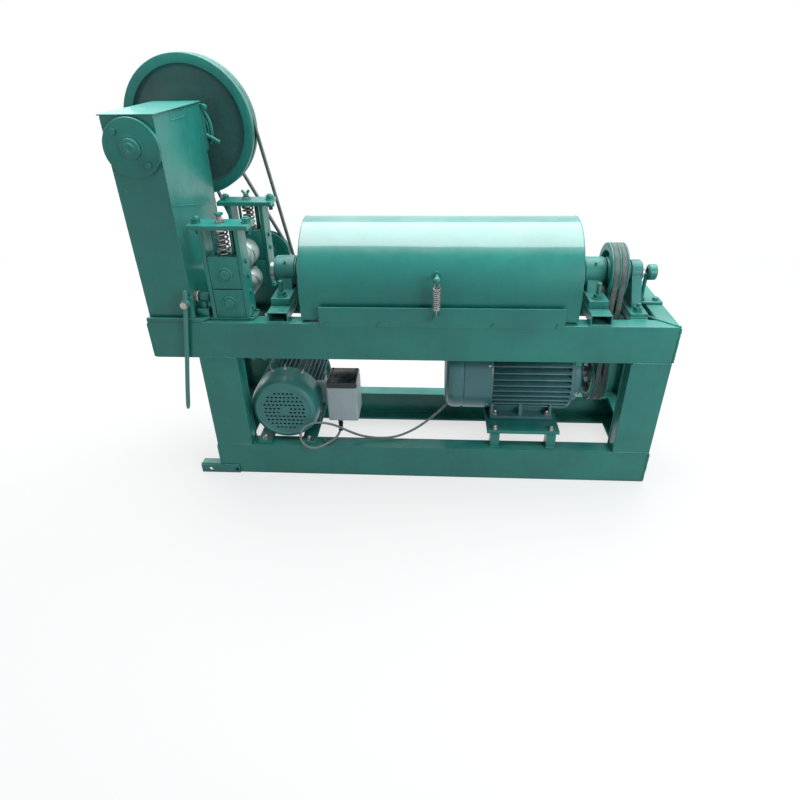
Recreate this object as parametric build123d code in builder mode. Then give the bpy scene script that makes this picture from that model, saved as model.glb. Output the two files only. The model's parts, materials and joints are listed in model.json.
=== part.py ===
from build123d import *
from math import pi, radians, sqrt, tan
import os

os.makedirs("parts", exist_ok=True)

# Wire straightening and cutting machine, in millimetres, +Z up.
# Places are given as across (from the left end of the top rails), back (from the frame's front
# face) and up (from the ground); a value named above is a height over the frame's top face.
# The origin is on the ground, under the middle of the machine's box.

# Welded frame of one channel section
frame_length = 1580.0
frame_depth = 400.0
frame_height = 570.0
channel_height = 120.0
channel_flange = 53.0
channel_web = 5.5
channel_lip = 9.0
left_leg_inset = 137.0

# Clearances that several pieces share
running_gap = 0.08
seat_gap = 0.1
wall_gap = 6.0
cut_over = 1.0
sink = 1.0

# Bracket at the front left foot
bracket_start = 65.0
bracket_length = 135.0
bracket_height = 32.0
bracket_thickness = 5.0
bracket_hole_radius = 6.5
bracket_hole_spacing = 93.0
bracket_hole_inset = 32.0
bracket_hole_height = 14.0

# Cutting tower
tower_start = 8.0
tower_width = 139.0
tower_front = 12.0
tower_depth = 338.0
tower_above = 564.0
tower_wall = 8.0
tower_base_thickness = 10.0
tower_base_width = 190.0
tower_base_chamfer = 22.0
top_plate_thickness = 3.0
top_plate_overhang = 5.0

# Main shaft through the tower, its bearings, and the wheels on it
shaft_across = 78.0
shaft_above = 487.0
shaft_radius = 25.0
shaft_proud = 10.0
cap_radius = 75.0
cap_thickness = 14.0
rear_flange = 150.0
rear_flange_corner = 30.0
rear_flange_thickness = 16.0
rear_hub_radius = 60.0
rear_hub_length = 32.0
flywheel_radius = 206.0
flywheel_clearance = 12.0
flywheel_width = 60.0
flywheel_rim = 28.0
flywheel_web = 18.0
flywheel_hub_radius = 48.0
flywheel_hub_proud = 8.0
feed_drive_radius = 48.0
feed_belt_offset = 63.0
feed_pulley_radius = 78.0
feed_pulley_width = 26.0
pulley_end_proud = 4.0

# Belts and their grooves
belt_width = 12.0
belt_thickness = 9.0
belt_sink = 9.0
groove_bottom_width = 11.8
groove_top_width = 17.6
groove_depth = 12.0

# Feed unit between tower and drum
wire_above = 98.0
stand_across = 258.0
stand_width = 114.0
stand_post = 12.0
stand_depth = 70.0
stand_front = 18.0
stand_rear_inset = 108.0
stand_foot_thickness = 8.0
stand_foot_lip = 10.0
stand_above = 272.0
stand_plate_width = 174.0
stand_plate_thickness = 12.0
stand_plate_lip = 3.0
roller_radius = 43.0
roller_gap = 2.0
roller_shaft_radius = 15.0
roller_shaft_proud = 4.0
roller_length = 120.0
roller_edge = 5.0
roller_groove = 3.0
block_side_gap = 0.3
block_inset = 1.0
upper_block_height = 95.0
lower_block_height = 89.0
block_gap = 2.0
screw_radius = 8.0
screw_rise = 22.0
screw_lift = 8.0
handle_length = 28.0
handle_thickness = 8.0
spring_seat_radius = 20.0
spring_seat_thickness = 9.0
spring_radius = 19.0
spring_inner_radius = 10.0

# Wire guide from the rollers into the tower
guide_collar_radius = 24.0
guide_collar_length = 12.0
guide_end_gap = 4.0

# Trip lever in front of the rail
lever_across = 138.0
lever_above = 65.0
lever_proud = 14.0
lever_radius = 7.0
lever_lean = 10.4
lever_length = 370.0
lever_stub = 42.0
lever_pin_radius = 6.0
lever_eye_radius = 13.0
lever_eye_length = 16.0
lever_play = 4.0
lever_head_radius = 10.0
lever_head_length = 6.0
lever_bracket_width = 28.0
lever_bracket_rise = 14.0

# Cross tubes and the straightening unit on them
cross_tube_width = 62.0
cross_tube_height = 32.0
cross_tube_wall = 4.0
cross_tube_inset = 5.0
left_tube_across = 370.0
right_tube_inset = 260.0
bearing_foot_length = 264.0
bearing_foot_width = 58.0
bearing_foot_thickness = 22.0
bearing_web_inset = 8.0
bearing_web_low = 132.0
bearing_web_high = 80.0
bearing_hub_radius = 46.0
bearing_hub_length = 58.0
bearing_step_radius = 37.0
bearing_step_length = 8.0
spindle_radius = 30.0
spindle_nose_radius = 22.0
spindle_bore = 7.0
spindle_overhang = 20.0
spindle_seat = 30.0
spindle_nose_lead = 6.0
spindle_nose_proud = 13.0
drum_start = 500.0
drum_end_gap = 60.0
drum_radius = 92.0
drum_bar_thickness = 34.0
drum_ring_length = 70.0
drum_bore = 9.0
die_count = 5
die_radius = 27.0
drum_pulley_radius = 88.0
twin_pulley_width = 50.0
groove_pitch = 22.0

# End pedestal beyond the pulley, on a bar between the rails
pedestal_inset = 119.0
pedestal_gap = 23.0
pedestal_width = 30.0
pedestal_low = 184.0
pedestal_high = 76.0
pedestal_foot_length = 256.0
pedestal_foot_thickness = 14.0
pedestal_bar_width = 52.0
pedestal_bar_thickness = 12.0
pedestal_bar_lead = 12.0

# Drum cover, its hinges, and the plate in front of it
cover_start = 470.0
cover_end_gap = 32.0
cover_inset = 12.0
cover_wall = 3.0
cover_centre_above = 85.0
cover_lift = 7.0
slot_front_gap = 22.0
slot_back_gap = 16.0
hinge_offset = 15.0
hinge_above = 11.0
hinge_pin_radius = 5.0
hinge_barrel_wall = 3.0
hinge_leaf = 4.0
hinge_leaf_height = 36.0
hinge_length = 70.0
hinge_inset = 110.0
hinge_play = 1.0
hinge_foot_lead = 3.0
hinge_foot_depth = 20.0
apron_left_inset = 57.0
apron_right_inset = 42.0
apron_below = 8.0
apron_above = 54.0
apron_thickness = 5.0

# Spring latch that holds the cover down to the plate
latch_offset = -6.0
latch_reach = 32.0
latch_above = 144.0
latch_pin_radius = 6.0
latch_knob_radius = 11.0
latch_knob_length = 10.0
latch_spring_radius = 12.0
latch_spring_above = 58.0
latch_spring_length = 68.0
latch_wire_radius = 4.0
latch_wire_drop = 18.0
hook_width = 12.0
hook_above = 24.0
hook_thickness = 6.0
hook_tip = 5.0
hook_tip_rise = 14.0
hook_reach = 26.0

# Wire eye at the inlet
eye_inset = 49.0
eye_width = 26.0
eye_radius = 24.0
eye_bore = 11.0
eye_rod_radius = 6.0
eye_rod_offset = 14.0
eye_rod_drop = 36.0
eye_rod_joint = 8.0
eye_nut_radius = 9.5
eye_nut_height = 10.0
eye_nut_drop = 14.0
eye_plate_lead = 28.0
eye_plate_length = 76.0
eye_plate_depth = 40.0
eye_plate_thickness = 8.0

# Right motor, its axis along the machine, on a plate with four posts
right_motor_above_rail = 192.0
right_motor_radius = 128.0
right_cowl_length = 156.0
right_fin_length = 251.0
right_bell_length = 52.0
right_bell_radius = 102.4
right_pulley_gap = 46.0
right_pulley_radius = 95.0
right_base_lead = 15.0
right_base_length = 238.0
right_base_inset = 24.0
right_base_above_rail = 48.0
right_base_thickness = 12.0
right_foot_insets = (13.0, 173.0)
right_foot_length = 48.0
right_foot_depth = 216.0
right_foot_sink = 90.0
right_post_inset = 12.0
right_post_length = 30.0
right_post_depth = 40.0
right_post_edge = 16.0
right_post_rear_edge = 4.0
right_box_lead = 36.0
right_box_size = (120.0, 66.0, 110.0)
right_box_sink = 10.0
right_box_drop = 60.0
right_gland_length = 22.0
gland_radius = 9.0
motor_shaft_radius = 19.0

# Left motor, its axis from front to back, on two bearers
left_motor_leg_gap = 2.0
left_motor_above_rail = 118.0
left_motor_radius = 115.0
left_motor_front = 28.0
left_motor_length = 330.0
left_foot_backs = (130.0, 250.0)
left_foot_width = 190.0
left_foot_depth = 44.0
left_foot_sink = 80.0
left_bearer_thickness = 5.0
left_bearer_width = 50.0
left_bearer_spread = 150.0
left_bearer_inset = 8.0
left_pulley_radius = 65.0
left_box_lead = 146.0
left_box_size = (100.0, 107.0, 148.0)
left_box_front = 40.0
left_box_drop = 42.0
left_arm_lead = 60.0
left_arm_size = (100.0, 17.0, 80.0)
left_arm_back = 130.0
left_arm_drop = 25.0
left_gland_lead = 182.0
left_gland_back = 60.0
left_gland_length = 14.0

# Free cable between the two motors: its route as across, back, up
cable_radius = 4.0
cable_bend_share = 0.45
cable_route = [
    (556, 60, 182), (556, 60, 160), (551, 48, 141), (538, 28, 130), (511, -2, 128), (476, -21, 122),
    (444, -23, 135), (428, -14, 162), (436, -2, 190), (466, 10, 206), (505, 24, 199), (545, 40, 177),
    (584, 48, 148), (630, 47, 130), (686, 42, 127), (741, 48, 128), (800, 84, 132), (858, 136, 146),
    (910, 200, 160), (952, 262, 172), (980, 318, 196), (992, 350, 236), (1004, 353, 284),
    (1033, 352, 312), (1078, 352, 312)]

# Places that follow from the sizes
table = frame_height
shaft_up = table + shaft_above
flywheel_front = frame_depth + flywheel_clearance
belt_plane = flywheel_front + flywheel_width / 2
feed_plane = belt_plane + feed_belt_offset
shaft_front = tower_front - cap_thickness - shaft_proud
shaft_back = feed_plane + feed_pulley_width / 2 + pulley_end_proud
stand_back_front = frame_depth - stand_rear_inset
stand_rear = stand_back_front + stand_depth
wire_back = (stand_front + stand_rear) / 2
wire_up = table + wire_above
lower_up = wire_up - roller_radius - roller_gap / 2
upper_up = wire_up + roller_radius + roller_gap / 2
right_tube_across = frame_length - right_tube_inset
drum_length = right_tube_across - drum_end_gap - drum_start
pedestal_from = frame_length - pedestal_inset
pulley_plane = pedestal_from - pedestal_gap - twin_pulley_width / 2
left = (flywheel_radius - shaft_across - frame_length) / 2
front = (latch_reach - shaft_back) / 2


def spot(across, back, up):
    return (left + across, front + back, up)


def side_plane(across):
    # upright plane across the machine, drawn with back and up
    return Plane.YZ.offset(left + across)


def face_plane(back):
    # upright plane along the machine, drawn with across and up; a negative extrusion goes back
    return Plane.XZ.offset(-(front + back))


def save(piece, name):
    piece.part.label = name
    export_step(piece.part, "parts/" + name + ".step")


def slab(low, size, mode=Mode.ADD):
    # a block from its low corner
    with Locations(spot(*low)):
        Box(*size, align=(Align.MIN, Align.MIN, Align.MIN), mode=mode)


def rod_back(start, radius, length, mode=Mode.ADD):
    # a round bar from front to back
    with Locations(Location(spot(*start), (-90, 0, 0))):
        Cylinder(radius, length, align=(Align.CENTER, Align.CENTER, Align.MIN), mode=mode)


def rod_across(start, radius, length, mode=Mode.ADD):
    # a round bar from left to right
    with Locations(Location(spot(*start), (0, 90, 0))):
        Cylinder(radius, length, align=(Align.CENTER, Align.CENTER, Align.MIN), mode=mode)


def rod_up(start, radius, length, mode=Mode.ADD):
    # an upright round bar
    with Locations(spot(*start)):
        Cylinder(radius, length, align=(Align.CENTER, Align.CENTER, Align.MIN), mode=mode)


def channel_section(outer, bottom, inward):
    # web on the outer side, flanges pointing inward
    tip = outer + inward * channel_flange
    root = outer + inward * channel_web
    top = bottom + channel_height
    with BuildLine() as outline:
        Polyline(
            (outer, bottom), (tip, bottom), (tip, bottom + channel_lip), (root, bottom + channel_lip),
            (root, top - channel_lip), (tip, top - channel_lip), (tip, top), (outer, top),
            close=True)
    make_face(outline.edges())


def ring_rail(side, start, end, bottom, hole_spots=()):
    # one rail of a rectangular ring of channels, cut at 45 degrees at both ends
    low_x, high_x = left + start, left + end
    low_y, high_y = front, front + frame_depth
    with BuildPart() as rail:
        if side in ("front", "back"):
            outer, inward = (low_y, 1) if side == "front" else (high_y, -1)
            with BuildSketch(Plane.YZ.offset(low_x)):
                channel_section(outer, bottom, inward)
            extrude(amount=high_x - low_x)
            corners = [(low_x, outer, (1, -inward)), (high_x, outer, (-1, -inward))]
        else:
            outer, inward = (low_x, 1) if side == "left" else (high_x, -1)
            with BuildSketch(Plane.XZ.offset(-low_y)):
                channel_section(outer, bottom, inward)
            extrude(amount=low_y - high_y)
            corners = [(outer, low_y, (-inward, 1)), (outer, high_y, (-inward, -1))]
        for corner_x, corner_y, kept in corners:
            split(bisect_by=Plane(origin=(corner_x, corner_y, 0), z_dir=(*kept, 0)), keep=Keep.TOP)
        for across, up in hole_spots:
            rod_back((across, -cut_over, up), bracket_hole_radius, channel_web + 2 * cut_over,
                     Mode.SUBTRACT)
    return rail


def leg(across, side):
    outer, inward = (front, 1) if side == "front" else (front + frame_depth, -1)
    upright = Plane(origin=(0, 0, channel_height), x_dir=(0, 1, 0), z_dir=(0, 0, -1))
    with BuildPart() as made:
        with BuildSketch(upright):
            channel_section(outer, left + across, inward)
        extrude(amount=-(frame_height - 2 * channel_height))
    return made


def pair(first, second):
    # two separate solids that share a node
    with BuildPart() as both:
        add(first.part)
        add(second.part)
    return both


# Frame
right_end = frame_length
top_bottom = frame_height - channel_height
bracket_holes = [
    bracket_start + bracket_hole_inset,
    bracket_start + bracket_hole_inset + bracket_hole_spacing]
rail_hole = (bracket_holes[1], bracket_hole_height)

save(ring_rail("front", 0, right_end, top_bottom), "top_rail_front")
save(ring_rail("back", 0, right_end, top_bottom), "top_rail_back")
save(pair(ring_rail("left", 0, right_end, top_bottom), ring_rail("right", 0, right_end, top_bottom)),
     "top_end_rails")
save(ring_rail("front", left_leg_inset, right_end, 0, [rail_hole]), "bottom_rail_front")
save(ring_rail("back", left_leg_inset, right_end, 0), "bottom_rail_back")
save(pair(ring_rail("left", left_leg_inset, right_end, 0),
          ring_rail("right", left_leg_inset, right_end, 0)), "bottom_end_rails")
right_leg_across = right_end - channel_height
save(pair(leg(left_leg_inset, "front"), leg(right_leg_across, "front")), "legs_front")
save(pair(leg(left_leg_inset, "back"), leg(right_leg_across, "back")), "legs_back")

# Foot bracket: an angle against the rail, its top leg coped where it meets the frame
with BuildPart() as foot_bracket:
    slab((bracket_start, -bracket_thickness, 0), (bracket_length, bracket_thickness, bracket_height))
    slab((bracket_start, 0, bracket_height - bracket_thickness),
         (left_leg_inset - bracket_start, bracket_height, bracket_thickness))
    for hole_across in bracket_holes:
        rod_back((hole_across, -bracket_thickness - cut_over, bracket_hole_height), bracket_hole_radius,
                 bracket_thickness + 2 * cut_over, Mode.SUBTRACT)
save(foot_bracket, "foot_bracket")

# Tower
tower_bottom = table + tower_base_thickness
tower_top = table + tower_above
tower_back = tower_front + tower_depth
tower_right = tower_start + tower_width
guide_radius = spindle_bore + wall_gap - seat_gap
with BuildPart() as tower_base:
    slab((0, 0, table), (tower_base_width, frame_depth, tower_base_thickness))
    chamfer(tower_base.edges().filter_by(Axis.Z).sort_by(Axis.X)[-2:], tower_base_chamfer)
save(tower_base, "tower_base_plate")

with BuildPart() as tower:
    slab((tower_start, tower_front, tower_bottom), (tower_width, tower_depth, tower_top - tower_bottom))
    slab((tower_start + tower_wall, tower_front + tower_wall, tower_bottom - cut_over),
         (tower_width - 2 * tower_wall, tower_depth - 2 * tower_wall,
          tower_top - tower_bottom + 2 * cut_over), Mode.SUBTRACT)
    rod_back((shaft_across, tower_front - cut_over, shaft_up), shaft_radius + wall_gap,
             tower_depth + 2 * cut_over, Mode.SUBTRACT)
    rod_across((tower_start - cut_over, wire_back, wire_up), spindle_bore + wall_gap,
               tower_width + 2 * cut_over, Mode.SUBTRACT)
save(tower, "tower_housing")

with BuildPart() as tower_cover:
    slab((tower_start - top_plate_overhang, tower_front - top_plate_overhang, tower_top),
         (tower_width + 2 * top_plate_overhang, tower_depth + 2 * top_plate_overhang, top_plate_thickness))
save(tower_cover, "tower_top_cover")

# Shaft bearings: round cap in front, square flange bearing behind
with BuildPart() as front_cap:
    rod_back((shaft_across, tower_front - cap_thickness, shaft_up), cap_radius, cap_thickness)
    rod_back((shaft_across, tower_front - cap_thickness - cut_over, shaft_up), shaft_radius + running_gap,
             cap_thickness + 2 * cut_over, Mode.SUBTRACT)
with BuildPart() as rear_bearing:
    with BuildSketch(face_plane(tower_back)):
        with Locations((left + shaft_across, shaft_up)):
            RectangleRounded(rear_flange, rear_flange, rear_flange_corner)
    extrude(amount=-rear_flange_thickness)
    rod_back((shaft_across, tower_back + rear_flange_thickness, shaft_up), rear_hub_radius, rear_hub_length)
    rod_back((shaft_across, tower_back - cut_over, shaft_up), shaft_radius + running_gap,
             rear_flange_thickness + rear_hub_length + 2 * cut_over, Mode.SUBTRACT)
save(pair(front_cap, rear_bearing), "shaft_bearings")


def turned(plane, axis, outline):
    # a body turned about an axis from its half outline
    with BuildPart() as made:
        with BuildSketch(plane):
            with BuildLine():
                Polyline(*outline, close=True)
            make_face()
        revolve(axis=axis)
    return made


def grooved_rim(outer, half_width, centres, inner):
    # outline of a wheel rim from the inner radius out, with a belt groove at each centre
    points = [(inner, -half_width), (outer, -half_width)]
    for centre in centres:
        points += [
            (outer, centre - groove_top_width / 2),
            (outer - groove_depth, centre - groove_bottom_width / 2),
            (outer - groove_depth, centre + groove_bottom_width / 2),
            (outer, centre + groove_top_width / 2)]
    points += [(outer, half_width), (inner, half_width)]
    return points


def back_axis(across, up):
    return Axis(spot(across, 0, up), (0, 1, 0))


def back_half_plane(across, back, up):
    # radius along the first direction, depth along the second
    return Plane(origin=spot(across, back, up), x_dir=(1, 0, 0), z_dir=(0, 0, 1))


def across_axis(back, up):
    return Axis(spot(0, back, up), (1, 0, 0))


def across_half_plane(across, back, up):
    # radius along the first direction, length along the second
    return Plane(origin=spot(across, back, up), x_dir=(0, 0, 1), z_dir=(0, 1, 0))


# Flywheel: rim with one belt groove, thin web, hub
half_flywheel = flywheel_width / 2
rim_inner = flywheel_radius - flywheel_rim
hub_half = half_flywheel + flywheel_hub_proud
bore = shaft_radius + seat_gap
flywheel_outline = grooved_rim(flywheel_radius, half_flywheel, [0], rim_inner) + [
    (rim_inner, flywheel_web / 2), (flywheel_hub_radius, flywheel_web / 2),
    (flywheel_hub_radius, hub_half), (bore, hub_half), (bore, -hub_half),
    (flywheel_hub_radius, -hub_half), (flywheel_hub_radius, -flywheel_web / 2),
    (rim_inner, -flywheel_web / 2)]
flywheel = turned(back_half_plane(shaft_across, belt_plane, shaft_up), back_axis(shaft_across, shaft_up),
                  flywheel_outline)
save(flywheel, "flywheel")

with BuildPart() as main_shaft:
    rod_back((shaft_across, shaft_front, shaft_up), shaft_radius, shaft_back - shaft_front)
save(main_shaft, "main_shaft")


def plain_pulley(across, back, up, radius, inner):
    outline = grooved_rim(radius, feed_pulley_width / 2, [0], inner)
    return turned(back_half_plane(across, back, up), back_axis(across, up), outline)


save(plain_pulley(shaft_across, feed_plane, shaft_up, feed_drive_radius, bore), "feed_drive_pulley")

# Feed rollers between the two stands; the lower shaft reaches back to the feed pulley
roller_end = roller_length / 2
roller_outline = [
    (0, -roller_end), (roller_radius - roller_edge, -roller_end),
    (roller_radius, -roller_end + roller_edge), (roller_radius, -roller_groove - sink),
    (roller_radius - roller_groove, 0), (roller_radius, roller_groove + sink),
    (roller_radius, roller_end - roller_edge), (roller_radius - roller_edge, roller_end), (0, roller_end)]
roller_shaft_front = stand_front - roller_shaft_proud


def feed_roller(up, shaft_end):
    with BuildPart() as made:
        with BuildSketch(back_half_plane(stand_across, wire_back, up)):
            with BuildLine():
                Polyline(*roller_outline, close=True)
            make_face()
        revolve(axis=back_axis(stand_across, up))
        rod_back((stand_across, roller_shaft_front, up), roller_shaft_radius, shaft_end - roller_shaft_front)
    return made


save(feed_roller(lower_up, shaft_back), "feed_roller_lower")
save(feed_roller(upper_up, stand_rear + roller_shaft_proud), "feed_roller_upper")
save(plain_pulley(stand_across, feed_plane, lower_up, feed_pulley_radius, roller_shaft_radius + seat_gap),
     "feed_pulley")

# Feed stands: two posts on a foot plate, a plate on top, two sliding bearing blocks
stand_top = table + stand_above
stand_plate_top = stand_top + stand_plate_thickness
block_width = stand_width - 2 * stand_post - 2 * block_side_gap
lower_block_bottom = table + stand_foot_thickness
upper_block_bottom = lower_block_bottom + lower_block_height + block_gap
upper_block_top = upper_block_bottom + upper_block_height
screw_tip = upper_block_top + screw_lift
spring_seat_bottom = stand_top - spring_seat_thickness - sink


def feed_stand(front_back):
    posts_from = stand_across - stand_width / 2
    with BuildPart() as made:
        slab((posts_from - stand_foot_lip, front_back, table),
             (stand_width + 2 * stand_foot_lip, stand_depth, stand_foot_thickness))
        for post_from in (posts_from, posts_from + stand_width - stand_post):
            slab((post_from, front_back, table), (stand_post, stand_depth, stand_above))
    return made


def stand_plate(front_back):
    with BuildPart() as made:
        slab((stand_across - stand_plate_width / 2, front_back - stand_plate_lip, stand_top),
             (stand_plate_width, stand_depth + 2 * stand_plate_lip, stand_plate_thickness))
        rod_up((stand_across, front_back + stand_depth / 2, stand_top - cut_over), screw_radius + running_gap,
               stand_plate_thickness + 2 * cut_over, Mode.SUBTRACT)
    return made


def bearing_block(front_back, up, bottom, height):
    with BuildPart() as made:
        slab((stand_across - block_width / 2, front_back + block_inset, bottom),
             (block_width, stand_depth - 2 * block_inset, height))
        rod_back((stand_across, front_back, up), roller_shaft_radius + running_gap, stand_depth,
                 Mode.SUBTRACT)
    return made


def pressure_screw(front_back):
    middle = front_back + stand_depth / 2
    with BuildPart() as made:
        rod_up((stand_across, middle, screw_tip), screw_radius, stand_plate_top + screw_rise - screw_tip)
        slab((stand_across - handle_length / 2, middle - handle_thickness / 2, stand_plate_top + screw_rise),
             (handle_length, handle_thickness, handle_thickness))
        rod_up((stand_across, middle, spring_seat_bottom), spring_seat_radius, spring_seat_thickness)
    return made


def pressure_spring(front_back):
    middle = front_back + stand_depth / 2
    with BuildPart() as made:
        rod_up((stand_across, middle, upper_block_top), spring_radius, spring_seat_bottom - upper_block_top)
        rod_up((stand_across, middle, upper_block_top - cut_over), spring_inner_radius,
               spring_seat_bottom - upper_block_top + 2 * cut_over, Mode.SUBTRACT)
    return made


fronts = (stand_front, stand_back_front)
save(pair(*[feed_stand(f) for f in fronts]), "feed_stands")
save(pair(*[stand_plate(f) for f in fronts]), "stand_top_plates")
save(pair(*[pressure_screw(f) for f in fronts]), "pressure_screws")
save(pair(*[pressure_spring(f) for f in fronts]), "pressure_springs")
save(pair(*[bearing_block(f, upper_up, upper_block_bottom, upper_block_height) for f in fronts]),
     "bearing_blocks_upper")
save(pair(*[bearing_block(f, lower_up, lower_block_bottom, lower_block_height) for f in fronts]),
     "bearing_blocks_lower")

# Wire guide: a tube in the tower wall with a collar against it
guide_start = tower_right - tower_wall
guide_length = stand_across - roller_radius - guide_end_gap - guide_start
with BuildPart() as wire_guide:
    rod_across((guide_start, wire_back, wire_up), guide_radius, guide_length)
    rod_across((tower_right, wire_back, wire_up), guide_collar_radius, guide_collar_length)
    rod_across((guide_start - cut_over, wire_back, wire_up), spindle_bore, guide_length + 2 * cut_over,
               Mode.SUBTRACT)
save(wire_guide, "wire_guide")

# Trip lever: a round rod on a pin in front of the tower
lever_up = table + lever_above
eye_front = -lever_proud - lever_eye_length / 2
pin_head_back = eye_front - lever_play
with BuildPart() as lever_bracket:
    slab((lever_across - lever_bracket_width / 2, 0, tower_bottom),
         (lever_bracket_width, tower_front, lever_up - tower_bottom + lever_bracket_rise))
    rod_back((lever_across, pin_head_back, lever_up), lever_pin_radius, -pin_head_back)
    rod_back((lever_across, pin_head_back - lever_head_length, lever_up), lever_head_radius,
             lever_head_length)
save(lever_bracket, "lever_bracket")
with BuildPart() as trip_lever:
    rod_back((lever_across, eye_front, lever_up), lever_eye_radius, lever_eye_length)
    for turn, reach in ((180 + lever_lean, lever_length), (lever_lean, lever_stub)):
        with Locations(Location(spot(lever_across, -lever_proud, lever_up), (0, turn, 0))):
            Cylinder(lever_radius, reach, align=(Align.CENTER, Align.CENTER, Align.MIN))
    rod_back((lever_across, eye_front - cut_over, lever_up), lever_pin_radius + running_gap,
             lever_eye_length + 2 * cut_over, Mode.SUBTRACT)
save(trip_lever, "trip_lever")

# Straightening unit: two hollow cross tubes carry its bearings
tube_top = table + cross_tube_height


def cross_tube(across):
    with BuildPart() as made:
        slab((across, cross_tube_inset, table),
             (cross_tube_width, frame_depth - 2 * cross_tube_inset, cross_tube_height))
        slab((across + cross_tube_wall, 0, table + cross_tube_wall),
             (cross_tube_width - 2 * cross_tube_wall, frame_depth, cross_tube_height - 2 * cross_tube_wall),
             Mode.SUBTRACT)
    return made


def web_outline(low_width, high_width, foot_up):
    # a web that narrows from its foot up to the spindle
    middle = front + wire_back
    with BuildLine() as outline:
        Polyline(
            (middle - low_width / 2, foot_up), (middle + low_width / 2, foot_up),
            (middle + high_width / 2, wire_up), (middle - high_width / 2, wire_up), close=True)
    make_face(outline.edges())


def drum_bearing(tube_across, outward):
    middle = tube_across + cross_tube_width / 2
    foot_from = middle - bearing_foot_width / 2
    hub_from = middle - bearing_hub_length / 2
    step_from = hub_from + bearing_hub_length if outward > 0 else hub_from - bearing_step_length
    with BuildPart() as made:
        slab((foot_from, wire_back - bearing_foot_length / 2, tube_top),
             (bearing_foot_width, bearing_foot_length, bearing_foot_thickness))
        with BuildSketch(side_plane(foot_from + bearing_web_inset)):
            web_outline(bearing_web_low, bearing_web_high, tube_top + sink)
        extrude(amount=bearing_foot_width - 2 * bearing_web_inset)
        rod_across((hub_from, wire_back, wire_up), bearing_hub_radius, bearing_hub_length)
        rod_across((step_from, wire_back, wire_up), bearing_step_radius, bearing_step_length)
        rod_across((hub_from - bearing_hub_length, wire_back, wire_up), spindle_radius + running_gap,
                   3 * bearing_hub_length, Mode.SUBTRACT)
    return made


save(pair(cross_tube(left_tube_across), cross_tube(right_tube_across)), "cross_tubes")
save(pair(drum_bearing(left_tube_across, -1), drum_bearing(right_tube_across, 1)), "drum_bearings")

# End pedestal: a bar between the rails, a foot and a narrowing web with its hub
bar_from = pedestal_from - pedestal_bar_lead
with BuildPart() as end_pedestal:
    slab((bar_from, channel_flange, table - pedestal_bar_thickness),
         (pedestal_bar_width, frame_depth - 2 * channel_flange, pedestal_bar_thickness))
    slab((bar_from, wire_back - pedestal_foot_length / 2, table),
         (pedestal_bar_width, pedestal_foot_length, pedestal_foot_thickness))
    with BuildSketch(side_plane(pedestal_from)):
        web_outline(pedestal_low, pedestal_high, table + pedestal_foot_thickness - sink)
    extrude(amount=pedestal_width)
    rod_across((pedestal_from, wire_back, wire_up), pedestal_high / 2, pedestal_width)
    rod_across((pedestal_from - cut_over, wire_back, wire_up), spindle_nose_radius + running_gap,
               pedestal_width + 2 * cut_over, Mode.SUBTRACT)
save(end_pedestal, "end_pedestal")

# Spindle with a through bore, in two lengths seated in the drum's ends, thinner past the pulley
drum_end = drum_start + drum_length
spindle_start = left_tube_across - spindle_overhang
nose_from = pedestal_from - spindle_nose_lead
spindle_end = pedestal_from + pedestal_width + spindle_nose_proud
with BuildPart() as spindle:
    rod_across((spindle_start, wire_back, wire_up), spindle_radius, drum_start + spindle_seat - spindle_start)
    rod_across((drum_end - spindle_seat, wire_back, wire_up), spindle_radius,
               nose_from - drum_end + spindle_seat)
    rod_across((nose_from, wire_back, wire_up), spindle_nose_radius, spindle_end - nose_from)
    rod_across((spindle_start - cut_over, wire_back, wire_up), spindle_bore,
               spindle_end - spindle_start + 2 * cut_over, Mode.SUBTRACT)
save(spindle, "drum_spindle")

# Straightening drum: two end rings joined by two bars, with dies between them
window_bottom = wire_up - drum_radius + drum_bar_thickness
window_height = 2 * (drum_radius - drum_bar_thickness)
window_length = drum_length - 2 * drum_ring_length
with BuildPart() as drum:
    rod_across((drum_start, wire_back, wire_up), drum_radius, drum_length)
    slab((drum_start + drum_ring_length, wire_back - drum_radius, window_bottom),
         (window_length, 2 * drum_radius, window_height), Mode.SUBTRACT)
    for end_from in (drum_start - cut_over, drum_end - spindle_seat - seat_gap):
        rod_across((end_from, wire_back, wire_up), spindle_radius + seat_gap,
                   spindle_seat + seat_gap + cut_over, Mode.SUBTRACT)
    rod_across((drum_start - cut_over, wire_back, wire_up), drum_bore, drum_length + 2 * cut_over,
               Mode.SUBTRACT)
save(drum, "straightening_drum")

die_pitch = window_length / die_count
with BuildPart() as dies:
    for index in range(die_count):
        die_across = drum_start + drum_ring_length + die_pitch * (index + 0.5)
        rod_up((die_across, wire_back, window_bottom), die_radius, window_height)
    rod_across((drum_start, wire_back, wire_up), drum_bore, drum_length, Mode.SUBTRACT)
save(dies, "straightening_dies")


def twin_pulley(back, up, radius, bore_radius):
    outline = grooved_rim(radius, twin_pulley_width / 2, [-groove_pitch / 2, groove_pitch / 2], bore_radius)
    return turned(across_half_plane(pulley_plane, back, up), across_axis(back, up), outline)


# Both motors' axes, and the pulleys that the drum belts join
right_motor_back = frame_depth / 2
right_motor_up = channel_height + right_motor_above_rail
left_motor_across = left_leg_inset + channel_height + left_motor_leg_gap + left_motor_radius
left_motor_up = channel_height + left_motor_above_rail
save(twin_pulley(wire_back, wire_up, drum_pulley_radius, spindle_radius + seat_gap), "drum_pulley")
save(twin_pulley(right_motor_back, right_motor_up, right_pulley_radius, motor_shaft_radius + seat_gap),
     "motor_right_pulley")


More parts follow.
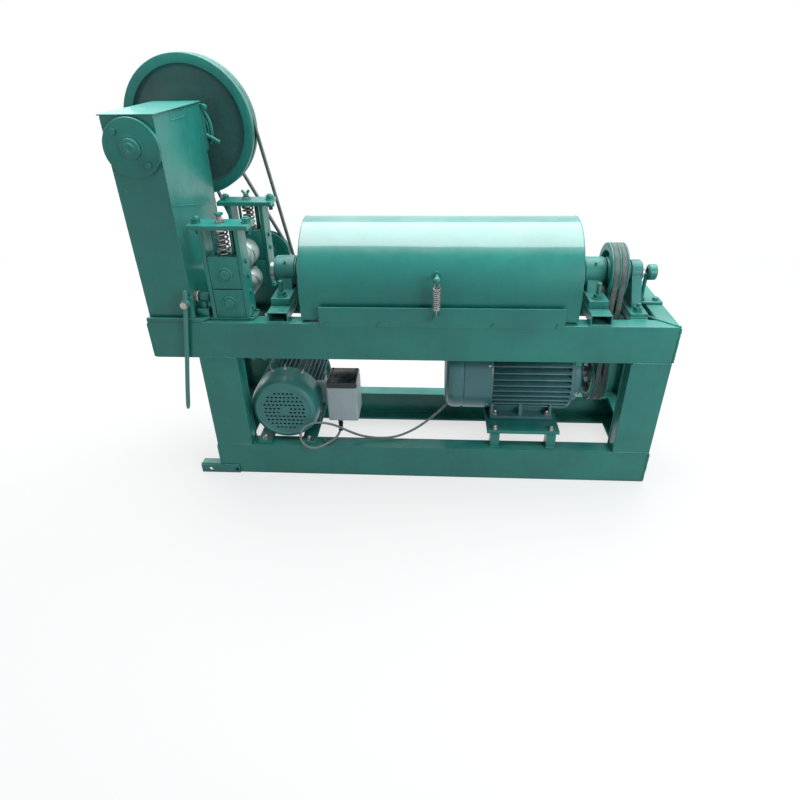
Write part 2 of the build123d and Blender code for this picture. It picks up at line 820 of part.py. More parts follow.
# Belts: one fixed loop each, lying in the grooves with a small gap
def belt_loop(plane, first, first_radius, second, second_radius, amount):
    inner_first = first_radius - belt_sink
    inner_second = second_radius - belt_sink
    with BuildPart() as made:
        with BuildSketch(plane):
            with Locations(first):
                Circle(inner_first + belt_thickness)
            with Locations(second):
                Circle(inner_second + belt_thickness)
            make_hull()
        extrude(amount=amount)
        with BuildSketch(plane):
            with Locations(first):
                Circle(inner_first)
            with Locations(second):
                Circle(inner_second)
            make_hull()
        extrude(amount=amount, mode=Mode.SUBTRACT)
    return made


main_shaft_spot = (left + shaft_across, shaft_up)
save(belt_loop(face_plane(belt_plane - belt_width / 2), main_shaft_spot, flywheel_radius,
               (left + left_motor_across, left_motor_up), left_pulley_radius, -belt_width), "main_belt")
save(belt_loop(face_plane(feed_plane - belt_width / 2), main_shaft_spot, feed_drive_radius,
               (left + stand_across, lower_up), feed_pulley_radius, -belt_width), "feed_belt")
twin_belts = [
    belt_loop(side_plane(pulley_plane + offset - belt_width / 2), (front + wire_back, wire_up),
              drum_pulley_radius, (front + right_motor_back, right_motor_up), right_pulley_radius, belt_width)
    for offset in (-groove_pitch / 2, groove_pitch / 2)]
save(pair(*twin_belts), "drum_belts")

# Drum cover: a bent sheet with a plate welded on each end, slotted for the spindle
cover_radius = wire_back - cover_inset
cover_length = right_tube_across - cover_end_gap - cover_start
cover_centre_up = table + cover_centre_above
cover_bottom = table + cover_lift
cover_back = wire_back + cover_radius
slot_front = spindle_radius + slot_front_gap
slot_back = spindle_radius + slot_back_gap
slot_radius = (slot_front + slot_back) / 2
slot_middle = wire_back + slot_back - slot_radius


def cover_outline(shrink):
    radius = cover_radius - shrink
    middle = front + wire_back
    low, high = middle - radius, middle + radius
    with BuildLine() as outline:
        Polyline((low, cover_centre_up), (low, cover_bottom), (high, cover_bottom), (high, cover_centre_up))
        RadiusArc((low, cover_centre_up), (high, cover_centre_up), radius)
    make_face(outline.edges())


def cover_end(across):
    with BuildPart() as made:
        with BuildSketch(side_plane(across)):
            cover_outline(0)
        extrude(amount=cover_wall)
        slab((across - cut_over, slot_middle - slot_radius, cover_bottom - cut_over),
             (cover_wall + 2 * cut_over, 2 * slot_radius, wire_up - cover_bottom + cut_over), Mode.SUBTRACT)
        rod_across((across - cut_over, slot_middle, wire_up), slot_radius, cover_wall + 2 * cut_over,
                   Mode.SUBTRACT)
    return made


with BuildPart() as cover:
    with BuildSketch(side_plane(cover_start + cover_wall)):
        cover_outline(0)
    extrude(amount=cover_length - 2 * cover_wall)
    with BuildSketch(side_plane(cover_start + cover_wall)):
        cover_outline(cover_wall)
    extrude(amount=cover_length - 2 * cover_wall, mode=Mode.SUBTRACT)
    slab((cover_start, wire_back - cover_radius + cover_wall, cover_bottom - cut_over),
         (cover_length, 2 * (cover_radius - cover_wall), cover_wall + 2 * cut_over), Mode.SUBTRACT)
save(cover, "drum_cover")
save(pair(cover_end(cover_start), cover_end(cover_start + cover_length - cover_wall)), "cover_ends")

# Cover hinges: fixed leaves with pins on the back rail, and knuckles on the cover
hinge_back = cover_back + hinge_offset
hinge_up = table + hinge_above
half_hinge = hinge_length / 2
barrel_radius = hinge_pin_radius + hinge_barrel_wall
hinge_spots = [cover_start + hinge_inset, cover_start + cover_length - hinge_inset - hinge_length]
with BuildPart() as hinge_bases:
    for hinge_from in hinge_spots:
        slab((hinge_from, hinge_back - hinge_foot_lead, table),
             (half_hinge - hinge_play, hinge_foot_depth, hinge_above))
        rod_across((hinge_from, hinge_back, hinge_up), barrel_radius, half_hinge - hinge_play)
        rod_across((hinge_from, hinge_back, hinge_up), hinge_pin_radius, hinge_length)
save(hinge_bases, "hinge_bases")
with BuildPart() as hinge_knuckles:
    for hinge_from in hinge_spots:
        knuckle_from = hinge_from + half_hinge
        rod_across((knuckle_from, hinge_back, hinge_up), barrel_radius, half_hinge)
        slab((knuckle_from, cover_back, hinge_up - hinge_leaf / 2), (half_hinge, hinge_offset, hinge_leaf))
        slab((knuckle_from, cover_back, hinge_up), (half_hinge, hinge_leaf, hinge_leaf_height))
        rod_across((knuckle_from - cut_over, hinge_back, hinge_up), hinge_pin_radius + running_gap,
                   half_hinge + 2 * cut_over, Mode.SUBTRACT)
save(hinge_knuckles, "hinge_knuckles")

# Apron plate in front of the cover, with the hook for the latch
apron_start = cover_start + apron_left_inset
apron_length = cover_length - apron_left_inset - apron_right_inset
latch_across = cover_start + cover_length / 2 + latch_offset
hook_up = table + hook_above
with BuildPart() as apron:
    slab((apron_start, -apron_thickness, table - apron_below),
         (apron_length, apron_thickness, apron_below + apron_above))
    slab((latch_across - hook_width / 2, -hook_reach, hook_up),
         (hook_width, hook_reach - apron_thickness, hook_thickness))
    slab((latch_across - hook_width / 2, -hook_reach, hook_up), (hook_width, hook_tip, hook_tip_rise))
save(apron, "cover_apron")

# Latch: knob on the cover with a spring that hangs over the apron
latch_up = table + latch_above
latch_line = latch_spring_radius - latch_reach
spring_bottom = table + latch_spring_above
spring_top = spring_bottom + latch_spring_length
knob_seat = wire_back - sqrt(cover_radius ** 2 - (latch_up - latch_pin_radius - cover_centre_up) ** 2)
with BuildPart() as latch:
    rod_back((latch_across, latch_line, latch_up), latch_pin_radius, knob_seat - latch_line)
    rod_back((latch_across, latch_line - latch_knob_length / 2, latch_up), latch_knob_radius,
             latch_knob_length)
    rod_up((latch_across, latch_line, spring_bottom), latch_spring_radius, latch_spring_length)
    rod_up((latch_across, latch_line, spring_top - sink), latch_wire_radius, latch_up - spring_top + sink)
    rod_up((latch_across, latch_line, spring_bottom - latch_wire_drop), latch_wire_radius,
           latch_wire_drop + sink)
save(latch, "cover_latch")

# Wire eye on its rod, clamped to a plate on the right end rail
eye_across = frame_length - eye_inset
rod_line = eye_across - eye_rod_offset
eye_rod_bottom = table - eye_rod_drop
with BuildPart() as wire_eye:
    rod_across((eye_across - eye_width / 2, wire_back, wire_up), eye_radius, eye_width)
    rod_up((rod_line, wire_back, eye_rod_bottom), eye_rod_radius, wire_up - eye_rod_joint - eye_rod_bottom)
    rod_across((eye_across - eye_width / 2 - cut_over, wire_back, wire_up), eye_bore,
               eye_width + 2 * cut_over, Mode.SUBTRACT)
    for nut_up in (table - eye_nut_drop, table + eye_plate_thickness):
        rod_up((rod_line, wire_back, nut_up), eye_nut_radius, eye_nut_height)
    slab((eye_across - eye_plate_lead, wire_back - eye_plate_depth / 2, table),
         (eye_plate_length, eye_plate_depth, eye_plate_thickness))
save(wire_eye, "wire_eye")

# Right motor: cowl, finned body and end bell in one line, with two feet across its base plate
bell_end = pulley_plane - right_pulley_gap
fins_end = bell_end - right_bell_length
cowl_end = fins_end - right_fin_length
motor_right_start = cowl_end - right_cowl_length
right_base_start = cowl_end - right_base_lead
right_base_up = channel_height + right_base_above_rail
right_foot_up = right_base_up + right_base_thickness
with BuildPart() as motor_right:
    rod_across((motor_right_start, right_motor_back, right_motor_up), right_motor_radius,
               fins_end - motor_right_start)
    rod_across((fins_end, right_motor_back, right_motor_up), right_bell_radius, right_bell_length)
    for foot_inset in right_foot_insets:
        slab((right_base_start + foot_inset, right_motor_back - right_foot_depth / 2, right_foot_up),
             (right_foot_length, right_foot_depth, right_motor_up - right_foot_up - right_foot_sink))
save(motor_right, "motor_right")
last_post = right_base_length - right_post_inset - right_post_length
rear_post_back = frame_depth - right_post_rear_edge - right_post_depth
with BuildPart() as motor_right_base:
    slab((right_base_start, right_base_inset, right_base_up),
         (right_base_length, frame_depth - 2 * right_base_inset, right_base_thickness))
    for post_inset in (right_post_inset, last_post):
        for post_back in (right_post_edge, rear_post_back):
            slab((right_base_start + post_inset, post_back, channel_height),
                 (right_post_length, right_post_depth, right_base_above_rail))
save(motor_right_base, "motor_right_base")
gland_back = right_motor_back + right_motor_radius + right_gland_length + sink + sink
with BuildPart() as motor_right_box:
    slab((cowl_end + right_box_lead, right_motor_back + right_motor_radius - right_box_sink,
          right_motor_up - right_box_drop), right_box_size)
    rod_across((cowl_end + right_box_lead - right_gland_length, gland_back, right_motor_up), gland_radius,
               right_gland_length)
    rod_across((cowl_end, right_motor_back, right_motor_up), right_motor_radius, right_fin_length,
               Mode.SUBTRACT)
save(motor_right_box, "motor_right_box")
right_shaft_end = pulley_plane + twin_pulley_width / 2 + pulley_end_proud
with BuildPart() as motor_right_shaft:
    rod_across((bell_end, right_motor_back, right_motor_up), motor_shaft_radius, right_shaft_end - bell_end)
save(motor_right_shaft, "motor_right_shaft")

# Left motor on two bearers, its pulley behind the back rail
left_motor_end = left_motor_front + left_motor_length
left_foot_up = channel_height + left_bearer_thickness
with BuildPart() as motor_left:
    rod_back((left_motor_across, left_motor_front, left_motor_up), left_motor_radius, left_motor_length)
    for foot_back in left_foot_backs:
        slab((left_motor_across - left_foot_width / 2, foot_back, left_foot_up),
             (left_foot_width, left_foot_depth, left_motor_up - left_foot_up - left_foot_sink))
save(motor_left, "motor_left")
with BuildPart() as motor_left_bearers:
    for side in (-1, 1):
        bearer_middle = left_motor_across + side * left_bearer_spread / 2
        slab((bearer_middle - left_bearer_width / 2, left_bearer_inset, channel_height),
             (left_bearer_width, frame_depth - 2 * left_bearer_inset, left_bearer_thickness))
save(motor_left_bearers, "motor_left_bearers")
left_box_up = left_motor_up - left_box_drop
with BuildPart() as motor_left_box:
    slab((left_motor_across + left_box_lead, left_box_front, left_box_up), left_box_size)
    slab((left_motor_across + left_arm_lead, left_arm_back, left_motor_up - left_arm_drop), left_arm_size)
    rod_up((left_motor_across + left_gland_lead, left_gland_back, left_box_up - left_gland_length),
           gland_radius, left_gland_length + sink)
    rod_back((left_motor_across, left_arm_back - cut_over, left_motor_up), left_motor_radius,
             left_arm_size[1] + 2 * cut_over, Mode.SUBTRACT)
save(motor_left_box, "motor_left_box")
left_shaft_end = belt_plane + feed_pulley_width / 2 + pulley_end_proud
with BuildPart() as motor_left_shaft:
    rod_back((left_motor_across, left_motor_end, left_motor_up), motor_shaft_radius,
             left_shaft_end - left_motor_end)
save(motor_left_shaft, "motor_left_shaft")
save(plain_pulley(left_motor_across, belt_plane, left_motor_up, left_pulley_radius,
                  motor_shaft_radius + seat_gap), "motor_left_pulley")

# Cable: leaves the left box downwards, makes one open loop, lies along the bottom rail and
# rises to the box behind the right motor
cable_points = [Vector(*spot(*place)) for place in cable_route]
cable_radii = []
for before, corner, after in zip(cable_points, cable_points[1:], cable_points[2:]):
    turn = (corner - before).get_angle(after - corner)
    run = min((corner - before).length, (after - corner).length)
    cable_radii.append(cable_bend_share * run / tan(radians(turn / 2)))
with BuildPart() as cable:
    with BuildLine() as cable_line:
        FilletPolyline(*cable_points, radius=cable_radii)
    with BuildSketch(Plane(origin=cable_line.line @ 0, z_dir=cable_line.line % 0)):
        Circle(cable_radius)
    sweep()
save(cable, "cable")
cable_length = sum(edge.length for edge in cable_line.edges())
print("cable length", round(cable_length, 1))
print("cable bend radii", [round(radius) for radius in cable_radii])
print("cable volume share", round(cable.part.volume / (pi * cable_radius ** 2 * cable_length), 4))
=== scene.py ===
import json
import math

import bmesh
import bpy
from mathutils import Matrix, Vector, noise


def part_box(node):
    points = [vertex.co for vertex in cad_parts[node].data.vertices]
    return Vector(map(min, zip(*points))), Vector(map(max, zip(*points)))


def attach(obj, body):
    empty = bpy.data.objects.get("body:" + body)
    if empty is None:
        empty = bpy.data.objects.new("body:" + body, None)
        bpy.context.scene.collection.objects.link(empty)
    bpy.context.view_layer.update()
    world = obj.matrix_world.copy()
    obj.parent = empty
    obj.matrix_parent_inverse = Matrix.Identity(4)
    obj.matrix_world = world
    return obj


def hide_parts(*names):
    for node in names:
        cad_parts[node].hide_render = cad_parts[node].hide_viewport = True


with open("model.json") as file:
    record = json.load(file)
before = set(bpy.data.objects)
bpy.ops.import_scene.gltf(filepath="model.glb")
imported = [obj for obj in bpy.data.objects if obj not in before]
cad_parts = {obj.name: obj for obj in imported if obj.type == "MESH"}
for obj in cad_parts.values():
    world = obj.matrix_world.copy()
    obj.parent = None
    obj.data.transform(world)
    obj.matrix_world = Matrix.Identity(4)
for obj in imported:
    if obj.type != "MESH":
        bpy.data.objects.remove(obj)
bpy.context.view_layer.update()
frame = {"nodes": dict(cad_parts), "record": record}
print("frame loaded,", len(frame["nodes"]), "nodes")

# Places are across (from the left end of the top rails), back (from the frame's front face)
# and up (from the ground), in millimetres, as a maker would measure the machine.
millimetre = 0.001
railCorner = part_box("top_rail_front")[0]
alongX, alongY, alongZ = Vector((1, 0, 0)), Vector((0, 1, 0)), Vector((0, 0, 1))


def at(across, back, up):
    return Vector((railCorner.x + across * millimetre, railCorner.y + back * millimetre, up * millimetre))


def spot(place):
    # a place in millimetres, or a point that is already in metres
    return place if isinstance(place, Vector) else at(*place)


def addObject(name, data):
    thing = bpy.data.objects.new(name, data)
    bpy.context.scene.collection.objects.link(thing)
    return thing


# Camera, at the photograph's place
cameraSettings = {
    "place": (864.67, -1596.22, 1298.80),
    "right": (0.9984, 0.0551, -0.0135),
    "down": (0.0176, -0.5266, -0.8500),
    "forward": (-0.0539, 0.8483, -0.5267),
    "lens": 26.56,
    "sensor": 36.0,
}


def placeCamera(place, right, down, forward, lens, sensor):
    data = bpy.data.cameras.new("camera")
    data.lens = lens
    data.sensor_width = sensor
    camera = addObject("camera", data)
    turn = Matrix((Vector(right), -Vector(down), -Vector(forward))).transposed().to_4x4()
    camera.matrix_world = Matrix.Translation(at(*place)) @ turn
    bpy.context.scene.camera = camera


placeCamera(**cameraSettings)
print("camera placed")


# Node helpers: a value is either a constant or another node's socket
def connect(tree, node, values):
    for key, value in values.items():
        if isinstance(value, bpy.types.NodeSocket):
            tree.links.new(value, node.inputs[key])
        else:
            node.inputs[key].default_value = value


def addNode(tree, kind, values=None, **settings):
    node = tree.nodes.new(kind)
    for key, value in settings.items():
        setattr(node, key, value)
    connect(tree, node, values or {})
    return node


def addMath(tree, operation, first, second, clamp=False):
    node = addNode(tree, "ShaderNodeMath", {0: first, 1: second}, operation=operation, use_clamp=clamp)
    return node.outputs[0]


def multiply(tree, first, second, clamp=False):
    return addMath(tree, "MULTIPLY", first, second, clamp)


def add(tree, first, second, clamp=False):
    return addMath(tree, "ADD", first, second, clamp)


def addMix(tree, share, first, second):
    return addNode(tree, "ShaderNodeMix", {0: share, 6: first, 7: second}, data_type="RGBA").outputs[2]


def addRamp(tree, source, low, high):
    values = {"From Min": low, "From Max": high, "Value": source}
    return addNode(tree, "ShaderNodeMapRange", values, clamp=True).outputs["Result"]


def addNoise(tree, vector, scale, detail=4.0, rough=0.55):
    values = {"Detail": detail, "Roughness": rough, "Vector": vector, "Scale": scale}
    return addNode(tree, "ShaderNodeTexNoise", values).outputs["Fac"]


def scaledPlace(tree, factors=(1, 1, 1)):
    place = addNode(tree, "ShaderNodeTexCoord").outputs["Object"]
    return addNode(tree, "ShaderNodeVectorMath", {0: place, 1: factors}, operation="MULTIPLY").outputs["Vector"]


def upwardness(tree):
    normal = addNode(tree, "ShaderNodeNewGeometry").outputs["Normal"]
    return addNode(tree, "ShaderNodeSeparateXYZ", {0: normal}).outputs["Z"]


# Node groups: shared paint and metal effects, which put out colours, masks and heights
def makeGroup(name, inputs, outputs):
    group = bpy.data.node_groups.new(name, "ShaderNodeTree")
    for label, value in inputs.items():
        kind = "NodeSocketColor" if isinstance(value, tuple) else "NodeSocketFloat"
        group.interface.new_socket(label, in_out="INPUT", socket_type=kind).default_value = value
    for label in outputs:
        kind = "NodeSocketColor" if label == "Color" else "NodeSocketFloat"
        group.interface.new_socket(label, in_out="OUTPUT", socket_type=kind)
    return group, group.nodes.new("NodeGroupInput").outputs, group.nodes.new("NodeGroupOutput")


def buildUnevenPaint():
    # hand-sprayed enamel: slow colour drift, faint runs, orange peel
    group, enter, leave = makeGroup(
        "unevenPaint",
        {"Color": (0.03, 0.27, 0.22, 1), "Thin Color": (0.02, 0.16, 0.14, 1), "Drift": 0.35, "Runs": 0.2, "Peel": 0.3},
        ["Color", "Rough", "Height"])
    plain = scaledPlace(group)
    drift = addRamp(group, addNoise(group, plain, 5.0, 5.0), 0.35, 0.68)
    runs = addRamp(group, addNoise(group, scaledPlace(group, (1, 1, 0.12)), 60.0, 3.0), 0.5, 0.75)
    blotch = addRamp(group, addNoise(group, plain, 28.0, 6.0, 0.65), 0.45, 0.7)
    peel = addNoise(group, plain, 420.0, 2.0)
    run = multiply(group, runs, enter["Runs"])
    share = add(group, multiply(group, drift, enter["Drift"]), run, clamp=True)
    connect(group, leave, {
        "Color": addMix(group, share, enter["Color"], enter["Thin Color"]),
        "Rough": add(group, multiply(group, blotch, 0.14), multiply(group, peel, 0.06)),
        "Height": add(group, multiply(group, peel, enter["Peel"]), run),
    })
    return group


def buildEdgeWear():
    # mask of chipped edges, also used by the enamels for painted edge highlights: where a rounded normal leaves the
    # true one, broken up by noise
    group, enter, leave = makeGroup("edgeWear", {"Reach": 0.003, "Grain Size": 90.0}, ["Wear"])
    softened = addNode(group, "ShaderNodeBevel", {"Radius": enter["Reach"]}, samples=4)
    normal = addNode(group, "ShaderNodeNewGeometry").outputs["Normal"]
    agreement = addNode(group, "ShaderNodeVectorMath", {0: softened.outputs["Normal"], 1: normal},
                        operation="DOT_PRODUCT")
    edge = addRamp(group, agreement.outputs["Value"], 0.995, 0.86)
    grain = addNoise(group, scaledPlace(group), enter["Grain Size"], 8.0, 0.7)
    slow = addNoise(group, scaledPlace(group), 9.0, 3.0)
    broken = addRamp(group, multiply(group, add(group, grain, slow), 0.5), 0.50, 0.60)
    connect(group, leave, {"Wear": multiply(group, edge, broken, clamp=True)})
    return group


def buildDustAndCornerShade():
    # masks of workshop dust on upward faces, and of painted shade in corners
    group, enter, leave = makeGroup("settledDustAndCornerShade", {"Amount": 0.3, "Corner Reach": 0.03}, ["Dust", "Corner Shade", "Top"])
    up = upwardness(group)
    patch = addRamp(group, addNoise(group, scaledPlace(group), 14.0, 7.0, 0.7), 0.4, 0.72)
    corner = addNode(group, "ShaderNodeAmbientOcclusion", {"Distance": enter["Corner Reach"]}, samples=4)
    settled = multiply(group, addRamp(group, up, 0.55, 0.98), patch)
    connect(group, leave, {
        "Dust": multiply(group, settled, enter["Amount"], clamp=True),
        "Corner Shade": addRamp(group, corner.outputs["AO"], 0.75, 0.2),
        "Top": addRamp(group, up, 0.62, 0.72),
    })
    return group


def buildCastSkin():
    # sand-cast surface: coarse pebbling with a few pits
    group, enter, leave = makeGroup("castSkin", {"Grain Size": 260.0, "Pits": 0.5}, ["Height", "Hollow"])
    place = scaledPlace(group)
    pebbles = addNoise(group, place, enter["Grain Size"], 5.0, 0.6)
    waves = addNoise(group, place, 38.0, 3.0)
    cells = addNode(group, "ShaderNodeTexVoronoi", {"Scale": 120.0, "Vector": place})
    pits = multiply(group, addRamp(group, cells.outputs["Distance"], 0.16, 0.02), enter["Pits"])
    height = addMath(group, "SUBTRACT", add(group, multiply(group, pebbles, 0.6), waves), pits)
    connect(group, leave, {"Height": height, "Hollow": pits})
    return group


groups = {
    "paint": buildUnevenPaint(),
    "wear": buildEdgeWear(),
    "dust": buildDustAndCornerShade(),
    "cast": buildCastSkin(),
}


def useGroup(tree, name, values=None):
    node = addNode(tree, "ShaderNodeGroup", node_tree=groups[name])
    connect(tree, node, values or {})
    return node.outputs


def startMaterial(name, shaderValues):
    finish = bpy.data.materials.new(name)
    finish.use_nodes = True
    shader = finish.node_tree.nodes["Principled BSDF"]
    connect(finish.node_tree, shader, shaderValues)
    return finish, finish.node_tree, shader


def addBump(tree, shader, height, strength, distance):
    bump = addNode(tree, "ShaderNodeBump", {"Strength": strength, "Distance": distance, "Height": height})
    connect(tree, shader, {"Normal": bump.outputs["Normal"]})


enamel = {
    "color": (0.020, 0.325, 0.268, 1),
    "thin": (0.014, 0.165, 0.165, 1),
    "castThin": (0.016, 0.180, 0.172, 1),
    "bareEdgeAndHighlight": (0.30, 0.40, 0.38, 1),
    "dust": (0.40, 0.47, 0.45, 1),
    "cornerShade": (0.010, 0.024, 0.028, 1),
    "roughness": 0.28,
}
lidPaint = dict(enamel, roughness=0.5)
# darker web paint: painted shade of the flywheel's recessed web; its brownish mottle is the casting's own
webShadedPaint = dict(enamel, color=(0.026, 0.175, 0.165, 1), castThin=(0.060, 0.085, 0.090, 1))
motorPaint = dict(enamel, color=(0.085, 0.270, 0.290, 1), thin=(0.055, 0.180, 0.200, 1),
                  castThin=(0.050, 0.170, 0.190, 1))
# lighter teal than the motor paint: painted light on the left motor's cowl, which the frame above keeps in shade
cowlLitPaint = dict(enamel, color=(0.070, 0.360, 0.340, 1), thin=(0.040, 0.230, 0.225, 1))
leverPaint = dict(enamel, color=(0.085, 0.400, 0.360, 1), thin=(0.060, 0.260, 0.240, 1))


def makeEnamel(name, settings=enamel, cast=False, wearReach=0.0025, edgeWearAndHighlightShare=0.6, dustAmount=0.2,
               cornerReach=0.03, topGloss=0.0):
    finish, tree, shader = startMaterial(name, {"Coat Weight": 0.12, "Coat Roughness": 0.1, "IOR": 1.5})
    paint = useGroup(tree, "paint", {
        "Color": settings["color"], "Thin Color": settings["castThin" if cast else "thin"],
        "Drift": 0.8 if cast else 0.55, "Runs": 0.3 if cast else 0.14})
    wear = useGroup(tree, "wear", {"Reach": wearReach})["Wear"]
    dust = useGroup(tree, "dust", {"Amount": dustAmount, "Corner Reach": cornerReach})
    # painted shade: corners and creases darken towards near-black where ambient occlusion finds them
    cornerShaded = addMix(tree, multiply(tree, dust["Corner Shade"], 0.75), paint["Color"], settings["cornerShade"])
    dusted = addMix(tree, dust["Dust"], cornerShaded, settings["dust"])
    polish = add(tree, paint["Rough"], settings["roughness"] + (0.1 if cast else 0))
    connect(tree, shader, {
        # edges turn pale teal-grey: partly rubbed paint, partly painted edge highlight
        "Base Color": addMix(tree, multiply(tree, wear, edgeWearAndHighlightShare), dusted, settings["bareEdgeAndHighlight"]),
        "Roughness": add(tree, multiply(tree, dust["Dust"], 0.5), polish, clamp=True),
        "Metallic": multiply(tree, wear, 0.3),
    })
    if topGloss:
        # hands and rags keep the upper side polished
        connect(tree, shader, {"Coat IOR": 2.1, "Coat Weight": multiply(tree, dust["Top"], topGloss)})
    if cast:
        addBump(tree, shader, useGroup(tree, "cast")["Height"], 0.7, 0.0018)
    else:
        addBump(tree, shader, paint["Height"], 0.25, 0.0004)
    return finish


steel = {"bright": (0.56, 0.57, 0.57, 1), "dull": (0.30, 0.30, 0.29, 1), "oil": (0.05, 0.045, 0.035, 1)}


def makeSteel(name, color, roughness, stain=0.35):
    # turned, ground or drawn steel with a fine grain, oily stains and painted shade in its corners
    finish, tree, shader = startMaterial(name, {"Metallic": 1.0})
    lines = addNoise(tree, scaledPlace(tree, (900.0, 900.0, 900.0)), 1.0, 3.0)
    patch = addRamp(tree, addNoise(tree, scaledPlace(tree), 22.0, 6.0, 0.65), 0.42, 0.72)
    # painted shade: corners darken towards the oil colour where ambient occlusion finds them
    cornerShade = useGroup(tree, "dust", {"Amount": 0.15, "Corner Reach": 0.012})["Corner Shade"]
    tinted = addMix(tree, multiply(tree, lines, 0.35), color, steel["dull"])
    stained = addMix(tree, multiply(tree, patch, stain), tinted, steel["oil"])
    polish = add(tree, roughness, multiply(tree, lines, 0.12))
    connect(tree, shader, {
        "Base Color": addMix(tree, multiply(tree, cornerShade, 0.7), stained, steel["oil"]),
        "Roughness": add(tree, multiply(tree, patch, 0.18), polish, clamp=True),
    })
    addBump(tree, shader, lines, 0.12, 0.0002)
    return finish


rubber = {"color": (0.095, 0.118, 0.114, 1), "worn": (0.40, 0.48, 0.46, 1)}


def makeBeltRubber(name):
    finish, tree, shader = startMaterial(name, {"Specular IOR Level": 0.35})
    place = scaledPlace(tree)
    weave = addNode(tree, "ShaderNodeTexWave", {"Scale": 260.0, "Distortion": 1.5, "Detail": 2.0, "Vector": place},
                    wave_type="BANDS", bands_direction="DIAGONAL")
    patch = addRamp(tree, addNoise(tree, place, 30.0, 6.0, 0.7), 0.35, 0.7)
    wear = useGroup(tree, "wear", {"Reach": 0.002})["Wear"]
    share = add(tree, multiply(tree, patch, 0.45), multiply(tree, wear, 0.5), clamp=True)
    connect(tree, shader, {
        "Base Color": addMix(tree, share, rubber["color"], rubber["worn"]),
        "Roughness": add(tree, multiply(tree, patch, 0.2), 0.55),
    })
    addBump(tree, shader, weave.outputs["Fac"], 0.25, 0.0003)
    return finish


def makePlastic(name, color, second, roughness, dustAmount=0.3):
    # moulded plastic or sheath: faint mottling, fine grain
    finish, tree, shader = startMaterial(name, {"Specular IOR Level": 0.45})
    place = scaledPlace(tree)
    mottle = addRamp(tree, addNoise(tree, place, 45.0, 6.0, 0.65), 0.35, 0.7)
    dust = useGroup(tree, "dust", {"Amount": dustAmount, "Corner Reach": 0.01})["Dust"]
    mixed = addMix(tree, multiply(tree, mottle, 0.6), color, second)
    connect(tree, shader, {
        "Base Color": addMix(tree, dust, mixed, enamel["dust"]),
        "Roughness": add(tree, multiply(tree, mottle, 0.15), roughness),
    })
    addBump(tree, shader, addNoise(tree, place, 700.0, 2.0), 0.15, 0.0002)
    return finish


finishes = {
    "sheet": makeEnamel("greenEnamelSheet"),
    # the cover's top carries more pale dust than other sheets: partly settled dust, partly painted highlight on its
    # upper side
    "coverSheet": makeEnamel("greenEnamelCover", topGloss=0.6, dustAmount=0.3),
    "lidSheet": makeEnamel("greenEnamelLid", lidPaint, dustAmount=0.05),
    "cast": makeEnamel("greenEnamelCast", cast=True),
    "fitting": makeEnamel("greenEnamelFitting", wearReach=0.0012, dustAmount=0.12),
    "paintedBolt": makeEnamel("greenEnamelBolts", wearReach=0.0014, edgeWearAndHighlightShare=0.95, dustAmount=0.12),
    "leverPaint": makeEnamel("leverEnamel", leverPaint, wearReach=0.0016, edgeWearAndHighlightShare=0.9, dustAmount=0.1),
    # a wider occlusion reach deepens the painted shade at the step inside the rim
    "webCastShaded": makeEnamel("flywheelWebShadedEnamel", webShadedPaint, cast=True, cornerReach=0.05),
    "motorSheet": makeEnamel("motorEnamelSheet", motorPaint, wearReach=0.004, edgeWearAndHighlightShare=0.8),
    "motorTealLit": makeEnamel("motorEnamelTealLit", cowlLitPaint, wearReach=0.004, edgeWearAndHighlightShare=0.8),
    "motorCast": makeEnamel("motorEnamelCast", motorPaint, cast=True, wearReach=0.003, edgeWearAndHighlightShare=0.9,
                            cornerReach=0.007),
    "roller": makeSteel("rollerSteel", (0.40, 0.52, 0.50, 1), 0.36, stain=0.25),
    "turned": makeSteel("turnedSteel", steel["bright"], 0.24),
    "bolt": makeSteel("boltSteel", (0.45, 0.46, 0.46, 1), 0.34, stain=0.5),
    "die": makeSteel("dieIron", (0.20, 0.20, 0.20, 1), 0.45, stain=0.6),
    "spring": makeSteel("springSteel", (0.36, 0.37, 0.38, 1), 0.30, stain=0.4),
    "zinc": makeSteel("zincWasher", (0.78, 0.78, 0.76, 1), 0.28, stain=0.1),
    "belt": makeBeltRubber("beltRubber"),
    "paleBox": makePlastic("paleBox", (0.66, 0.80, 0.84, 1), (0.52, 0.68, 0.70, 1), 0.42),
    "darkLid": makePlastic("darkLid", (0.012, 0.022, 0.028, 1), (0.02, 0.035, 0.04, 1), 0.22, dustAmount=0.08),
    "sheath": makePlastic("cableSheath", (0.27, 0.34, 0.32, 1), (0.17, 0.23, 0.22, 1), 0.38),
    "hollow": makePlastic("shadowBlack", (0.01, 0.012, 0.013, 1), (0.016, 0.018, 0.02, 1), 0.8),
}
print("finishes made,", len(finishes))


# Shape helpers: each adds geometry to a bmesh, in metres, in the machine's own frame
def basisOf(axis):
    axis = axis.normalized()
    helper = alongZ if abs(axis.z) < 0.9 else alongX
    side = axis.cross(helper).normalized()
    return side, axis.cross(side), axis


def around(side, other, angle):
    return side * math.cos(angle) + other * math.sin(angle)


def heading(degrees, side=alongX):
    # a direction in the upright plane through a side direction
    return around(side, alongZ, math.radians(degrees))


def band(inner, outer, low, high):
    # profile of a plain ring, or of a plain rod where the inner radius is 0
    return [(inner, low), (outer, low), (outer, high), (inner, high)]


